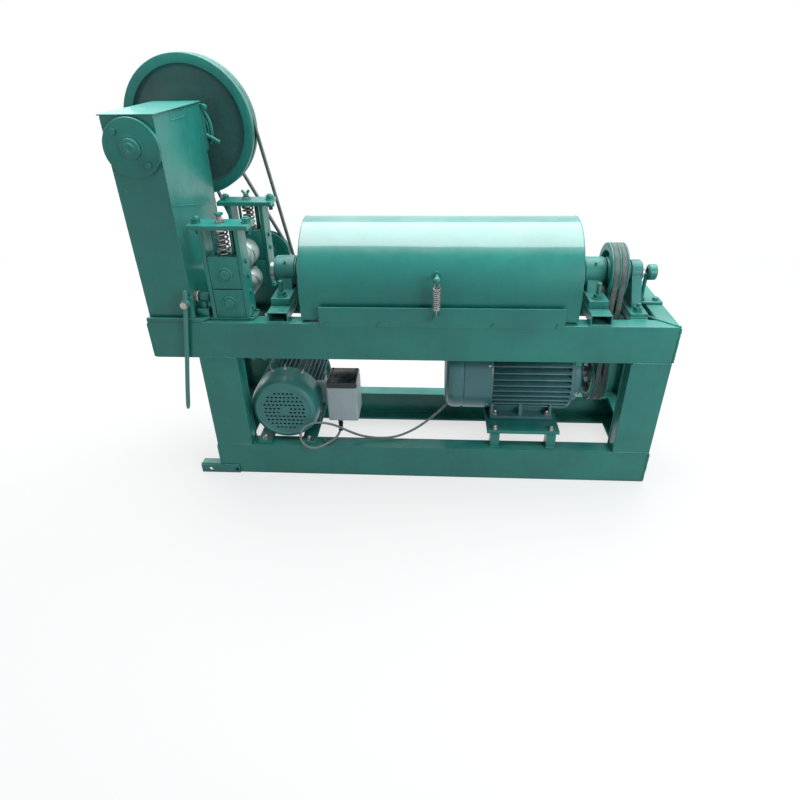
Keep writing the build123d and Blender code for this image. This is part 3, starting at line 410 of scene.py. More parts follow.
def rounded(profile, radius, steps=3, closed=False):
    # replaces each corner of an outline by a short arc
    points = [Vector(point) for point in profile]
    count = len(points)
    result = []
    for index, corner in enumerate(points):
        if not closed and index in (0, count - 1):
            result.append(tuple(corner))
            continue
        before, after = points[index - 1] - corner, points[(index + 1) % count] - corner
        reach = min(radius, before.length * 0.45, after.length * 0.45)
        start, end = corner + before.normalized() * reach, corner + after.normalized() * reach
        for step in range(steps + 1):
            share = step / steps
            point = start * (1 - share) ** 2 + corner * 2 * share * (1 - share) + end * share ** 2
            result.append(tuple(point))
    return result


def joinRings(bm, pairs, reverse=False):
    # a band of faces between the two rings of each pair
    faces = []
    for first, second in pairs:
        for step in range(len(first)):
            near, far = step, (step + 1) % len(first)
            if reverse:
                near, far = far, near
            faces.append(bm.faces.new((first[near], first[far], second[far], second[near])))
    return faces


def addTurned(bm, profile, place, axis, steps=48, closed=False, soft=None):
    # profile: (radius, distance along the axis) in millimetres; soft: its corners' radius and steps
    if soft:
        profile = rounded(profile, *soft, closed)
    centre = spot(place)
    side, other, along = basisOf(axis)
    rings = []
    for radius, distance in profile:
        middle = centre + along * distance * millimetre
        turns = range(steps) if radius > 1e-6 else range(1)
        rings.append([bm.verts.new(middle + around(side, other, 2 * math.pi * step / steps) * radius * millimetre)
                      for step in turns])
    faces = []
    for first, second in list(zip(rings, rings[1:])) + ([(rings[-1], rings[0])] if closed else []):
        if len(first) == len(second) == 1:
            continue
        if len(first) == len(second):
            faces += joinRings(bm, [(first, second)], True)
            continue
        for step in range(steps):
            after = (step + 1) % steps
            if len(first) == 1:
                faces.append(bm.faces.new((first[0], second[step], second[after])))
            else:
                faces.append(bm.faces.new((first[after], first[step], second[0])))
    bmesh.ops.recalc_face_normals(bm, faces=faces)


def bevelEdges(bm, edges, width, segments):
    # takes each edge once; the order in which the operator lists its faces varies between runs
    bmesh.ops.bevel(bm, geom=list(dict.fromkeys(edges)), offset=width * millimetre, segments=segments, profile=0.5,
                    affect="EDGES", clamp_overlap=True)


def addBlock(bm, low, high, bevel, segments=2):
    # a block between two corners
    first, second = at(*low), at(*high)
    placed = Matrix.Translation((first + second) / 2) @ Matrix.Diagonal((*(second - first), 1))
    made = bmesh.ops.create_cube(bm, size=1.0, matrix=placed)
    bevelEdges(bm, [edge for vert in made["verts"] for edge in vert.link_edges], bevel, segments)


def addPrism(bm, outline, travel, bevel=0.0, segments=2):
    # a straight solid from an outline; travel is in metres
    outline = [spot(place) for place in outline]
    low = [bm.verts.new(point) for point in outline]
    high = [bm.verts.new(point + travel) for point in outline]
    faces = [bm.faces.new(low), bm.faces.new(list(reversed(high)))] + joinRings(bm, [(low, high)], True)
    bmesh.ops.recalc_face_normals(bm, faces=faces)
    if bevel:
        bevelEdges(bm, [edge for face in faces for edge in face.edges if edge.calc_face_angle(0) > math.radians(30)],
                   bevel, segments)


def addTube(bm, path, radius, sides=12):
    # a round bar along a path; radius is one number, or one for each point, in millimetres
    path = [spot(place) for place in path]
    radii = radius if isinstance(radius, list) else [radius] * len(path)
    rings = []
    side = None
    for index, point in enumerate(path):
        ahead = (path[min(index + 1, len(path) - 1)] - path[max(index - 1, 0)]).normalized()
        if side is None:
            side = basisOf(ahead)[0]
        side = (side - ahead * side.dot(ahead)).normalized()
        other = ahead.cross(side)
        rings.append([bm.verts.new(point + around(side, other, 2 * math.pi * step / sides) * radii[index] * millimetre)
                      for step in range(sides)])
    faces = joinRings(bm, zip(rings, rings[1:]))
    faces += [bm.faces.new(list(reversed(rings[0]))), bm.faces.new(rings[-1])]
    bmesh.ops.recalc_face_normals(bm, faces=faces)


def helixPath(place, radius, length, turns, perTurn=18, flatEnds=0.5):
    # an upright coil spring's centre line, closed up at both ends
    side, other, along = basisOf(alongZ)
    points = []
    for step in range(int(turns * perTurn) + 1):
        turned = step / perTurn
        share = min(max((turned - flatEnds) / (turns - 2 * flatEnds), 0), 1)
        points.append(at(*place) + along * share * length * millimetre
                      + around(side, other, 2 * math.pi * turned) * radius * millimetre)
    return points


# A piece that replaces a CAD node takes that node's body; any other takes the body it is given
bodyOfNode = {node: body for body, nodes in frame["record"]["behaviour"]["bodies"].items() for node in nodes}


def finishPiece(name, bm, finish, smooth=35, node=None, body="frame"):
    mesh = bpy.data.meshes.new(name)
    bm.to_mesh(mesh)
    bm.free()
    mesh.materials.append(finishes[finish])
    mesh.shade_smooth()
    mesh.set_sharp_from_angle(angle=math.radians(smooth))
    piece = addObject(name, mesh)
    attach(piece, bodyOfNode.get(node, body))
    if node:
        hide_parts(node)
    return piece


def softenNode(node, name, width, finish="sheet", segments=2):
    # the node's own shape with its sharp edges rounded off
    bm = bmesh.new()
    bm.from_mesh(frame["nodes"][node].data)
    bmesh.ops.remove_doubles(bm, verts=bm.verts, dist=1e-5)
    bmesh.ops.dissolve_limit(bm, angle_limit=math.radians(1.5), verts=bm.verts, edges=bm.edges)
    bevelEdges(bm, [edge for edge in bm.edges if edge.is_manifold and edge.calc_face_angle(0) > math.radians(30)],
               width, segments)
    piece = finishPiece(name, bm, finish, 50, node)
    piece.modifiers.new("normals", "WEIGHTED_NORMAL").keep_sharp = True


# Free cable between the two motors: the same route as the plain tube it stands for
cable = {
    "diameter": 8.0,
    "length": 1133.6,
    "tie": ((553.5, 54, 150.5), (-5, -12, -19)),
    "route": [
        (556, 60, 182), (556, 60, 160), (551, 48, 141), (538, 28, 130), (511, -2, 128), (476, -21, 122),
        (444, -23, 135), (428, -14, 162), (436, -2, 190), (466, 10, 206), (505, 24, 199), (545, 40, 177),
        (584, 48, 148), (630, 47, 130), (686, 42, 127), (741, 48, 128), (800, 84, 132), (858, 136, 146),
        (910, 200, 160), (952, 262, 172), (980, 318, 196), (992, 350, 236), (1004, 353, 284), (1033, 352, 312),
        (1078, 352, 312)],
}


def makeCable(diameter, length, tie, route):
    curve = bpy.data.curves.new("motorCable", "CURVE")
    curve.dimensions = "3D"
    curve.bevel_depth = diameter / 2 * millimetre
    curve.bevel_resolution = 5
    curve.resolution_u = 12
    curve.use_fill_caps = True
    spline = curve.splines.new("NURBS")
    spline.points.add(len(route) - 1)
    for point, place in zip(spline.points, route):
        point.co = (*at(*place), 1.0)
    spline.order_u = 3
    spline.use_endpoint_u = True
    curve.materials.append(finishes["sheath"])
    piece = addObject("motorCable", curve)
    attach(piece, "frame")
    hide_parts("cable")
    bm = bmesh.new()
    (across, back, up), along = tie
    addTurned(bm, band(4.0, 6.0, -3, 3), (across, back, up), Vector(along), 24, True, (0.6, 2))
    addBlock(bm, (across + 4, back - 3, up - 3), (across + 9, back + 3, up + 3), 1.0)
    strap = finishPiece("cable-tie", bm, "darkLid", 40)


makeCable(**cable)
print("cable laid")


# Fasteners and other small shapes that several pieces share
def addHex(bm, place, axis, across, height):
    # a hexagon head or nut with its crown chamfered
    centre = spot(place)
    side, other, along = basisOf(axis)
    apothem, sides = across / 2, 36
    rings = []
    for stage in range(3):
        ring = []
        for step in range(sides):
            angle = 2 * math.pi * step / sides
            reach = apothem / math.cos((angle + math.pi / 6) % (math.pi / 3) - math.pi / 6)
            lift = (0, height - (reach - apothem * 0.97) * 0.55, height)[stage]
            radius = apothem * 0.93 if stage == 2 else reach
            ring.append(bm.verts.new(centre + (along * lift + around(side, other, angle) * radius) * millimetre))
        rings.append(ring)
    faces = joinRings(bm, zip(rings, rings[1:]), True)
    faces += [bm.faces.new(rings[0]), bm.faces.new(list(reversed(rings[2])))]
    bmesh.ops.recalc_face_normals(bm, faces=faces)


def addThread(bm, place, axis, radius, length, pitch=1.75, steps=20):
    # a threaded rod's ridges, with a chamfered tip
    root = radius - pitch * 0.5
    profile = [(0, 0), (root, 0)]
    ridges = max(int(length / pitch), 1)
    for ridge in range(ridges):
        low = length * ridge / ridges
        profile += [(root, low + pitch * 0.15), (radius, low + pitch * 0.5)]
    profile += [(radius - pitch * 0.6, length), (0, length)]
    addTurned(bm, profile, place, axis, steps)


def addBolt(bm, place, axis, thread=12.0, washer=True, stud=0.0):
    # washer, hexagon and, where the bolt's end shows, its thread; place is where the washer seats
    base = at(*place)
    along = axis.normalized() * millimetre
    lift = 0.0
    if washer:
        lift = thread * 0.18
        addTurned(bm, band(thread * 0.55, thread * 1.05, 0, lift), base, axis, 28, True, (0.6, 2))
    head = thread * (0.82 if stud else 0.65)
    addHex(bm, base + along * lift, axis, thread * 1.6, head)
    if stud:
        addThread(bm, base + along * (lift + head - 0.5), axis, thread / 2, stud)


def boltGroup(name, places, axis, thread, washer=True, stud=0.0, finish="bolt", body="frame"):
    bm = bmesh.new()
    for place in places:
        addBolt(bm, place, axis, thread, washer, stud)
    finishPiece(name, bm, finish, 32, body=body)


def addWeld(bm, path, radius, seed):
    # a hand-laid bead: a lumpy round bar along a line, half sunk into the joint
    lumpLength = 0.0032
    points, radii = [], []
    for first, second in zip(path, path[1:]):
        start, end = at(*first), at(*second)
        count = max(int((end - start).length / lumpLength), 2)
        for step in range(count):
            point = start.lerp(end, step / count)
            lump = noise.noise(point * 160 + Vector((seed, 0, 0)))
            points.append(point + Vector((lump, noise.noise(point * 110), lump)) * 0.0005)
            radii.append(radius * (1 + 0.22 * lump + 0.10 * math.sin(step * 1.9)))
    points.append(at(*path[-1]))
    radii.append(radius * 0.8)
    addTube(bm, points, radii, 8)


def weldGroup(name, paths, radius):
    bm = bmesh.new()
    for index, path in enumerate(paths):
        addWeld(bm, path, radius, index * 3.7)
    finishPiece(name, bm, "cast", 70)


def turnedPiece(name, profile, place, axis, finish, node=None, body="frame", steps=64, closed=False, soft=None):
    bm = bmesh.new()
    addTurned(bm, profile, place, axis, steps, closed, soft)
    finishPiece(name, bm, finish, 35, node, body)


# Welded frame: rolled channels with softened edges, and the beads that join them
frameNodes = ["top_rail_front", "top_rail_back", "top_end_rails", "bottom_rail_front", "bottom_rail_back",
              "bottom_end_rails", "legs_front", "legs_back"]
for node in frameNodes:
    softenNode(node, node.replace("_", "-"), 2.2)
softenNode("foot_bracket", "foot-bracket", 1.2)
softenNode("tower_base_plate", "tower-base-plate", 1.4)

weldPaths = []
for low, high, inner in ((137, 257, 257), (1460, 1580, 1460)):
    weldPaths += [[(low + 3, back, level), (high - 3, back, level)] for level in (120, 450) for back in (0.5, 399.5)]
    weldPaths.append([(inner, 52, 122), (inner, 52, 448)])
weldPaths += [
    [(1, 1, 571), (118, 118, 571)], [(1579, 1, 571), (1462, 118, 571)],
    [(0.5, 0.5, 455), (0.5, 0.5, 565)], [(1579.5, 0.5, 455), (1579.5, 0.5, 565)],
    [(1579.5, 0.5, 5), (1579.5, 0.5, 115)], [(137.5, 0.5, 36), (137.5, 0.5, 115)],
    [(139, -1, 30), (198, -1, 31)], [(65, 2, 32), (136, 2, 32)], [(3, 0.5, 580.5), (166, 0.5, 580.5)],
]
weldGroup("frame-welds", weldPaths, 3.6)
print("frame made")

# Cutting tower: welded plates with a raised mark on the right face, a seam and a lid
tower = {
    "left": 8, "right": 147, "front": 12, "back": 350, "low": 580, "top": 1134,
    "tab": [(120, 1137), (118, 1109), (214, 1109), (229, 1129)],
    "seam": [(14, 908), (325, 843)],
    "rivet": (29, 12, 946),
}

softenNode("tower_housing", "tower-housing", 2.4, segments=3)
softenNode("tower_top_cover", "tower-lid", 1.0, "lidSheet")


def makeTowerMarks(left, right, front, back, low, top, tab, seam, rivet):
    bm = bmesh.new()
    outline = [(right + 0.3, depth, min(up, top - 1)) for depth, up in tab]
    addWeld(bm, outline + [outline[0]], 1.5, 2.0)
    addWeld(bm, [(right + 0.1, *end) for end in seam], 1.3, 5.0)
    for corner in ((left + 1, front + 1), (right - 1, front + 1), (left + 1, back - 1), (right - 1, back - 1)):
        addWeld(bm, [(*corner, low + 4), (*corner, top - 4)], 2.0, corner[0])
    addWeld(bm, [(right, front + 4, low), (right, back - 4, low)], 3.5, 8.0)
    addTurned(bm, [(0, 4), (4, 3.4), (6.5, 1.6), (7.2, 0), (7.2, -1)], rivet, -alongY, 24)
    finishPiece("tower-marks", bm, "sheet", 60)


makeTowerMarks(**tower)

# The main shaft's bearings in the tower's front and back walls
mainAcross, mainUp = 78, 1057
bearings = {
    "cap": [(25.1, 0), (75, 0), (75, 12.4), (73.4, 14), (34, 14), (29, 15.2), (25.1, 15.2)],
    "capFace": 12.0, "flangeFace": 350,
    "flange": {"half": 75, "corner": 30, "thickness": 16, "boltSpread": 53},
    "hub": [(25.1, 15), (60, 15), (60, 38), (54, 46), (40, 48), (25.1, 48)],
    "nipple": [(5, -2), (5, 4), (3, 5), (3, 9), (4, 10), (2, 14), (0, 14)],
    "capBolts": {"radius": 56, "turns": (-48, 132)},
}


def roundedSquare(across, back, up, half, corner, steps=8):
    points = []
    for quarter, (signX, signZ) in enumerate(((1, 1), (-1, 1), (-1, -1), (1, -1))):
        middle = Vector((signX * (half - corner), signZ * (half - corner)))
        for step in range(steps + 1):
            angle = math.pi / 2 * (quarter + step / steps)
            points.append((across + middle.x + corner * math.cos(angle), back,
                           up + middle.y + corner * math.sin(angle)))
    return points


def makeShaftBearings(cap, capFace, flangeFace, flange, hub, nipple, capBolts):
    bm = bmesh.new()
    addTurned(bm, cap, (mainAcross, capFace, mainUp), -alongY, 96, soft=(1.2, 2))
    outline = roundedSquare(mainAcross, flangeFace, mainUp, flange["half"], flange["corner"])
    addPrism(bm, outline, alongY * flange["thickness"] * millimetre, 1.6)
    addTurned(bm, hub, (mainAcross, flangeFace, mainUp), alongY, 80, soft=(2.5, 3))
    # grease nipple on the hub
    addTurned(bm, nipple, (mainAcross + 40, 382, mainUp + 43), Vector((0.7, 0, 0.72)), 16)
    finishPiece("shaft-bearings", bm, "cast", 40, "shaft_bearings")
    spread = flange["boltSpread"]
    corners = [(mainAcross + x * spread, flangeFace + flange["thickness"], mainUp + z * spread)
               for x in (-1, 1) for z in (-1, 1)]
    boltGroup("bearing-flange-bolts", corners, alongY, 14, stud=9)
    # painted bolts in the cap: one shows at the lower right of the photograph
    radius = capBolts["radius"]
    ring = [(mainAcross + radius * math.cos(math.radians(turn)), -2, mainUp + radius * math.sin(math.radians(turn)))
            for turn in capBolts["turns"]]
    boltGroup("bearing-cap-bolts", ring, -alongY, 10, washer=False, finish="cast")


makeShaftBearings(**bearings)

mainShaft = [(0, 0), (16, 0), (24, 2.2), (25, 4), (25, 530), (22, 533.5), (6, 533.5), (3, 530.5), (0, 528)]
turnedPiece("main-shaft", mainShaft, (mainAcross, -11.8, mainUp), alongY, "turned", "main_shaft", steps=56)

# Boss round the shaft's end in front, with its centre hole
frontBoss = [(25.2, 0), (26, 0), (26.5, 7), (24.5, 9.6), (17, 10.2), (15.2, 10.6), (14, 13.2), (6, 13.6), (4, 11.5),
             (0, 10)]
turnedPiece("shaft-end-boss", frontBoss, (mainAcross, -1.6, mainUp), -alongY, "cast", body="flywheel_shaft")

# Oiler on the tower's back edge: a lug, a bent guard and a grease bar
oiler = {
    "lug": (150, 352, 1121),
    "bar": [(148, 360, 1042), (189, 360, 1019)],
    "guardBack": 372,
    "guardRadii": (78, 87),
    "guardTurns": (-28, 52),
    "ribTurns": (-24, 12, 48),
    "ribReach": (0.066, 0.088),
}


def makeOiler(lug, bar, guardBack, guardRadii, guardTurns, ribTurns, ribReach):
    bm = bmesh.new()
    across, back, up = lug
    addBlock(bm, (across - 22, back, up - 12), (across + 4, back + 13, up + 8), 3)
    addTurned(bm, band(0, 10, -3, 14), (across + 6, back + 1, up - 3), alongY, 28, soft=(2, 3))
    start, end = (at(*place) for place in bar)
    addTube(bm, [start, start.lerp(end, 0.5), end], 7.2, 18)
    centre = at(mainAcross, guardBack, mainUp)
    first, last = guardTurns
    for radius in guardRadii:
        addTube(bm, [centre + heading(first + (last - first) * step / 24) * radius * millimetre
                     for step in range(25)], 6.0)
    for turn in ribTurns:
        addTube(bm, [centre + heading(turn) * reach for reach in ribReach], 4.0, 10)
    finishPiece("bearing-guard", bm, "cast", 45)


makeOiler(**oiler)
print("tower made")

# Flywheel: cast wheel with a belt groove, a stepped web and a hub
flywheel = {
    "place": (mainAcross, 442, mainUp),
    "rim": [(178, -30), (204.5, -30), (206, -28.5), (206, -8.8), (194, -5.9), (194, 5.9), (206, 8.8), (206, 28.5),
            (204.5, 30), (178, 30)],
    "inner": [(174, 13), (168, 9), (70, 9), (60, 10.5), (50, 16), (48, 37), (46.5, 38), (25.1, 38), (25.1, -38),
              (46.5, -38), (48, -37), (50, -16), (60, -10.5), (70, -9), (168, -9), (174, -13)],
    "unevenRadii": (0.052, 0.172),
    "webRadii": (0.054, 0.1775),
    "webHalf": 0.0285,
}


def makeFlywheel(place, rim, inner, unevenRadii, webRadii, webHalf):
    centre = at(*place)

    def liesBetween(point, radii):
        offset = point - centre
        return radii[0] < math.hypot(offset.x, offset.z) < radii[1]

    bm = bmesh.new()
    addTurned(bm, rim + inner, centre, alongY, 144, True, (1.6, 2))
    for vert in bm.verts:
        if liesBetween(vert.co, unevenRadii):
            vert.co.y += noise.noise(vert.co * 30) * 0.0005
    piece = finishPiece("flywheel-casting", bm, "cast", 38, "flywheel")
    # the web between rim and hub has a darker paint: painted shade of the recess inside the rim, with a brownish mottle
    piece.data.materials.append(finishes["webCastShaded"])
    for face in piece.data.polygons:
        if liesBetween(face.center, webRadii) and abs(face.center.y - centre.y) < webHalf:
            face.material_index = 1


makeFlywheel(**flywheel)
bm = bmesh.new()
addBlock(bm, (74, 404, 1076), (82, 480, 1084), 1.0)
finishPiece("flywheel-key", bm, "turned", body="flywheel_shaft")

# Belt wheels
pulley = {"groove": 12.0, "topHalf": 8.8, "bottomHalf": 5.9, "chamfer": 1.2}


def grooveOutline(radius, half, centres, webRadius, webHalf, hubRadius, bore):
    # half outline of a belt wheel: rim with grooves, web, hub
    chamfer, top, bottom, floor = (pulley["chamfer"], pulley["topHalf"], pulley["bottomHalf"],
                                   radius - pulley["groove"])
    points = [(radius - chamfer, -half), (radius, -half + chamfer)]
    for centre in centres:
        points += [(radius, centre - top), (floor, centre - bottom), (floor, centre + bottom), (radius, centre + top)]
    points += [(radius, half - chamfer), (radius - chamfer, half)]
    if webRadius:
        web = [(webRadius, half), (webRadius - 3, webHalf), (hubRadius + 3, webHalf), (hubRadius, half), (bore, half)]
        return points + web + [(reach, -place) for reach, place in reversed(web)]
    return points + [(bore, half), (bore, -half)]


wheels = [
    ("feed-drive-pulley", (mainAcross, 505, mainUp), alongY, (48, 13, [0], 0, 0, 0, 25.1)),
    ("feed-pulley", (258, 505, 624), alongY, (78, 13, [0], 58, 6, 27, 15.1)),
    ("motor-left-pulley", (374, 442, 238), alongY, (65, 13, [0], 46, 6, 30, 19.1)),
    ("drum-pulley", (1413, 190, 668), alongX, (88, 25, [-11, 11], 66, 9, 44, 30.1)),
    ("motor-right-pulley", (1413, 200, 312), alongX, (95, 25, [-11, 11], 72, 9, 36, 19.1)),
]
for name, place, axis, shape in wheels:
    turnedPiece(name, grooveOutline(*shape), place, axis, "cast", name.replace("-", "_"), steps=112, closed=True,
                soft=(0.9, 2))


# Belts: V sections that run as one fixed loop round two wheels
beltSection = [(0.4, -5.2), (0, -4.6), (0, 4.6), (0.4, 5.2), (7.6, 7.7), (8.6, 7.4), (9.0, 6.6), (9.0, -6.6),
               (8.6, -7.4), (7.6, -7.7)]


def beltLoop(bm, first, firstRadius, second, secondRadius, place, across, sink=9.0):
    # place turns two drawing coordinates into a point; across is the belt's width direction
    (firstX, firstY), (secondX, secondY) = first, second
    base = math.atan2(secondY - firstY, secondX - firstX)
    spread = math.acos((firstRadius - secondRadius) / math.hypot(secondX - firstX, secondY - firstY))
    roundFirst, straight, roundSecond = 56, 14, 32
    stations = []
    for step in range(roundFirst + 1):
        turn = base + spread + (2 * math.pi - 2 * spread) * step / roundFirst
        stations.append((*first, firstRadius, turn))

    def between(share, turn):
        stations.append((firstX + (secondX - firstX) * share, firstY + (secondY - firstY) * share,
                         firstRadius + (secondRadius - firstRadius) * share, turn))

    for step in range(1, straight):
        between(step / straight, base - spread)
    for step in range(roundSecond + 1):
        stations.append((*second, secondRadius, base - spread + 2 * spread * step / roundSecond))
    for step in range(1, straight):
        between(1 - step / straight, base + spread)
    rings = []
    for x, y, radius, turn in stations:
        ring = []
        for lift, lateral in beltSection:
            reach = radius - sink + lift
            ring.append(bm.verts.new(place(x + math.cos(turn) * reach, y + math.sin(turn) * reach)
                                     + across * lateral * millimetre))
        rings.append(ring)
    joinRings(bm, zip(rings, rings[1:] + rings[:1]))
    bmesh.ops.recalc_face_normals(bm, faces=bm.faces)


belts = [
    ("flywheel-belt", "main_belt", [442], ((mainAcross, mainUp), 206, (374, 238), 65)),
    ("feed-unit-belt", "feed_belt", [505], ((mainAcross, mainUp), 48, (258, 624), 78)),
    ("drum-drive-belts", "drum_belts", [1402, 1424], ((190, 668), 88, (200, 312), 95)),
]
for name, node, planes, loop in belts:
    bm = bmesh.new()
    for plane in planes:
        if node == "drum_belts":
            beltLoop(bm, *loop, lambda y, z: at(plane, y, z), alongX)
        else:
            beltLoop(bm, *loop, lambda x, z: at(x, plane, z), alongY)
    finishPiece(name, bm, "belt", 50, node)
print("wheels and belts made")

# Feed unit: two stands with sliding blocks, pressure screws and springs, and the rollers between
feed = {
    "across": 258, "middles": (53, 327), "depthHalf": 34, "blockHalf": 44.7,
    "blocks": [("lower", 578, 667, 624), ("upper", 669, 764, 712)],
    "plateTop": 854, "studs": (190, 334),
    "springWire": 2.7, "springRadius": 16.2, "springTurns": 5.5, "springLength": 68,
    "boss": [(15.2, -2), (15.2, 2.6), (17.6, 4.2), (20.4, 4.2), (22.4, 2.8), (23.4, 0), (23.4, -2)],
    "oilPlug": [(0, 2.4), (3, 2.2), (4.4, 1.0), (4.6, -1)],
}

softenNode("feed_stands", "feed-stand-posts", 1.6, "fitting")
softenNode("stand_top_plates", "feed-stand-plates", 1.8, "fitting")


def makeFeedBlocks(settings):
    across, half, deep = settings["across"], settings["blockHalf"], settings["depthHalf"]
    for level, low, high, axisUp in settings["blocks"]:
        bm = bmesh.new()
        for middle in settings["middles"]:
            addBlock(bm, (across - half, middle - deep, low), (across + half, middle + deep, high), 2.2, 3)
            for side in (-1, 1):
                addTurned(bm, settings["boss"], (across, middle + side * deep, axisUp), alongY * side, 40, True)
            # oil hole and its plug beside the boss
            addTurned(bm, settings["oilPlug"], (across - 30, middle - deep, axisUp - 28), -alongY, 16)
        finishPiece("feed-blocks-" + level, bm, "cast", 40, "bearing_blocks_" + level)


def makeFeedSprings(settings):
    bm = bmesh.new()
    wire = settings["springWire"]
    for middle in settings["middles"]:
        addTube(bm, helixPath((settings["across"], middle, 764 + wire), settings["springRadius"],
                              settings["springLength"] - 2 * wire, settings["springTurns"], 22), wire, 10)
    finishPiece("pressure-coil-springs", bm, "spring", 60, "pressure_springs")


def makePressureScrews(settings):
    bm, handles = bmesh.new(), bmesh.new()
    across, top = settings["across"], settings["plateTop"]
    for back in settings["middles"]:
        addThread(bm, (across, back, 772), alongZ, 7.9, 104, 2.4, 24)
        seat = [(8, 0), (20, 0), (20, 6), (13, 9), (8, 9)]
        addTurned(bm, seat, (across, back, 832), alongZ, 40, True, (1.2, 2))
        addHex(bm, (across, back, top), alongZ, 24, 9)
        if back == max(settings["middles"]):
            # wing handle on the rear screw
            for side in (-1, 1):
                wing = [(across + side * reach, back, 872 + lift) for reach, lift in ((0, 0), (5, 3), (9, 7), (12, 11))]
                addTube(handles, wing, [4.2, 4.4, 4.8, 3.6])
            addTurned(handles, [(0, -2), (8.6, -2), (9, 0), (7.6, 8), (0, 9)], (across, back, 866), alongZ, 28)
        else:
            addTurned(handles, band(0, 9, 0, 8), (across, back, 873), alongZ, 28, soft=(1.4, 2))
            addBlock(handles, (across - 13, back - 3.4, 876), (across + 13, back + 3.4, 883), 1.4)
    finishPiece("pressure-screw-rods", bm, "bolt", 30, "pressure_screws")
    finishPiece("pressure-screw-handles", handles, "fitting", 45)


def makeFeedFittings(settings):
    bolts, bars = bmesh.new(), bmesh.new()
    top = settings["plateTop"]
    for back in settings["middles"]:
        for across in settings["studs"]:
            addBolt(bolts, (across, back, top), alongZ, 14, True, 4)
            addThread(bolts, (across, back, top - 12), -alongZ, 6.8, 20, 2.0)
            addHex(bolts, (across, back, top - 12), -alongZ, 22, 10)
        for across, radius in ((231, 4.5), (286, 6.5)):
            # spacer rods each side of the spring
            addTurned(bars, band(0, radius, 0, 78), (across, back, 764), alongZ, 20)
        for level in (600, 650, 700, 742):
            addBolt(bolts, (315, back, level), alongX, 8, False)
        for across in (196.5, 319.5):
            for offset in (-23, 23):
                addBolt(bolts, (across, back + offset, 578), alongZ, 6, False)
    finishPiece("feed-stand-bolts", bolts, "paintedBolt", 32)
    finishPiece("feed-spacer-rods", bars, "fitting", 32)


makeFeedBlocks(feed)
makeFeedSprings(feed)
makePressureScrews(feed)
makeFeedFittings(feed)

rollerProfile = [(0, 14), (13, 14), (15, 16), (15, 126), (22, 127), (24, 130), (37, 130), (40.5, 131.2), (43, 135),
                 (43, 183.5), (42.2, 186), (40, 190), (42.2, 194), (43, 196.5), (43, 245), (40.5, 248.8), (37, 250),
                 (24, 250), (22, 253), (15, 254)]
for level, up, end in (("lower", 624, 522), ("upper", 712, 366)):
    turnedPiece("feed-roller-" + level, rollerProfile + [(15, end - 2), (13, end), (0, end)], (258, 0, up), alongY,
                "roller", "feed_roller_" + level, steps=72)
# painted caps over the roller shafts' front ends
shaftCap = [(0, 1.2), (4, 1.2), (5, 2.0), (11, 2.0), (13.4, 1.4), (14.6, 0), (14.9, -4)]
for level, up in (("lower", 624), ("upper", 712)):
    turnedPiece("feed-shaft-cap-" + level, shaftCap, (258, 14, up), -alongY, "cast",
                body=bodyOfNode["feed_roller_" + level], steps=40)

guideProfile = [(7, 0), (12.9, 0), (12.9, 8.2), (24, 8.2), (24, 18.5), (22.5, 20), (13, 21), (12.9, 68), (10, 72),
                (7, 72)]
turnedPiece("wire-guide-tube", guideProfile, (139, 190, 668), alongX, "turned", "wire_guide", steps=48, closed=True,
            soft=(0.8, 2))


# Side screw that adjusts the cutter, on a small welded block beside the tower
def makeSideScrew(back, up):
    body, nut, washer = bmesh.new(), bmesh.new(), bmesh.new()
    addThread(body, (147, back, up), alongX, 9, 48, 2.2, 24)
    addTurned(body, [(0, 0), (15, 0), (15, 26), (12, 30), (0, 30)], (165, back, up), alongX, 32, soft=(2, 3))
    addHex(nut, (147, back, up), alongX, 30, 8)
    addTurned(washer, band(9, 17.5, 0, 4), (156, back, up), alongX, 36, True, (1, 2))
    addBlock(body, (150, 21, 580), (189, 51, 603), 2.4, 3)
    addBlock(body, (164, 32, 600), (182, 44, 624), 2.0)
    finishPiece("side-screw-body", body, "cast", 40)
    finishPiece("side-screw-nut", nut, "bolt", 32)
    finishPiece("side-screw-washer", washer, "zinc", 32)


makeSideScrew(back=45, up=635)

# Trip lever: a slightly bent round rod on its pin, with an eye and a nut in front
lever = {"pin": (138, -14, 635), "lean": 10.4, "down": 370, "up": 42, "radius": 7.0, "stations": 34}


def makeLever(pin, lean, down, up, radius, stations):
    across, level = pin[0], pin[2]
    direction = Vector((math.sin(math.radians(lean)), 0, math.cos(math.radians(lean))))
    path, radii = [], []
    for step in range(stations + 1):
        share = step / stations
        wander = noise.noise(Vector((share * 3, 0, 4))) * 0.0008
        path.append(at(*pin) + direction * (-down + share * (down + up)) * millimetre
                    + Vector((wander, wander * 0.5, 0)))
        radii.append(radius * (0.97 if min(share, 1 - share) * stations > 0.6 else 0.6))
    bm = bmesh.new()
    addTube(bm, path, radii, 18)
    addTurned(bm, band(6.08, 13, -8, 8), pin, alongY, 40, True, (1.2, 2))
    finishPiece("trip-lever-rod", bm, "leverPaint", 45, "trip_lever")
    bm = bmesh.new()
    addBlock(bm, (across - 14, 0, 580), (across + 14, 12, 649), 2.0, 3)
    addTurned(bm, band(0, 6, 0, 26), (across, -26, level), alongY, 24)
    finishPiece("lever-pivot-bracket", bm, "fitting", 40, "lever_bracket")
    bm = bmesh.new()
    addHex(bm, (across, -25, level), -alongY, 19, 6.6)
    addTurned(bm, band(6.2, 11, 0, 1.6), (across, -24.8, level), alongY, 28, True, (0.5, 2))
    finishPiece("lever-pivot-nut", bm, "bolt", 32)


makeLever(**lever)
print("feed unit and lever made")

# Cross tubes and the bearings of the straightening drum
softenNode("cross_tubes", "cross-tubes", 2.4, segments=3)
softenNode("drum_bearings", "drum-bearing-castings", 2.0, "cast")
softenNode("end_pedestal", "end-pedestal-casting", 2.0, "cast")

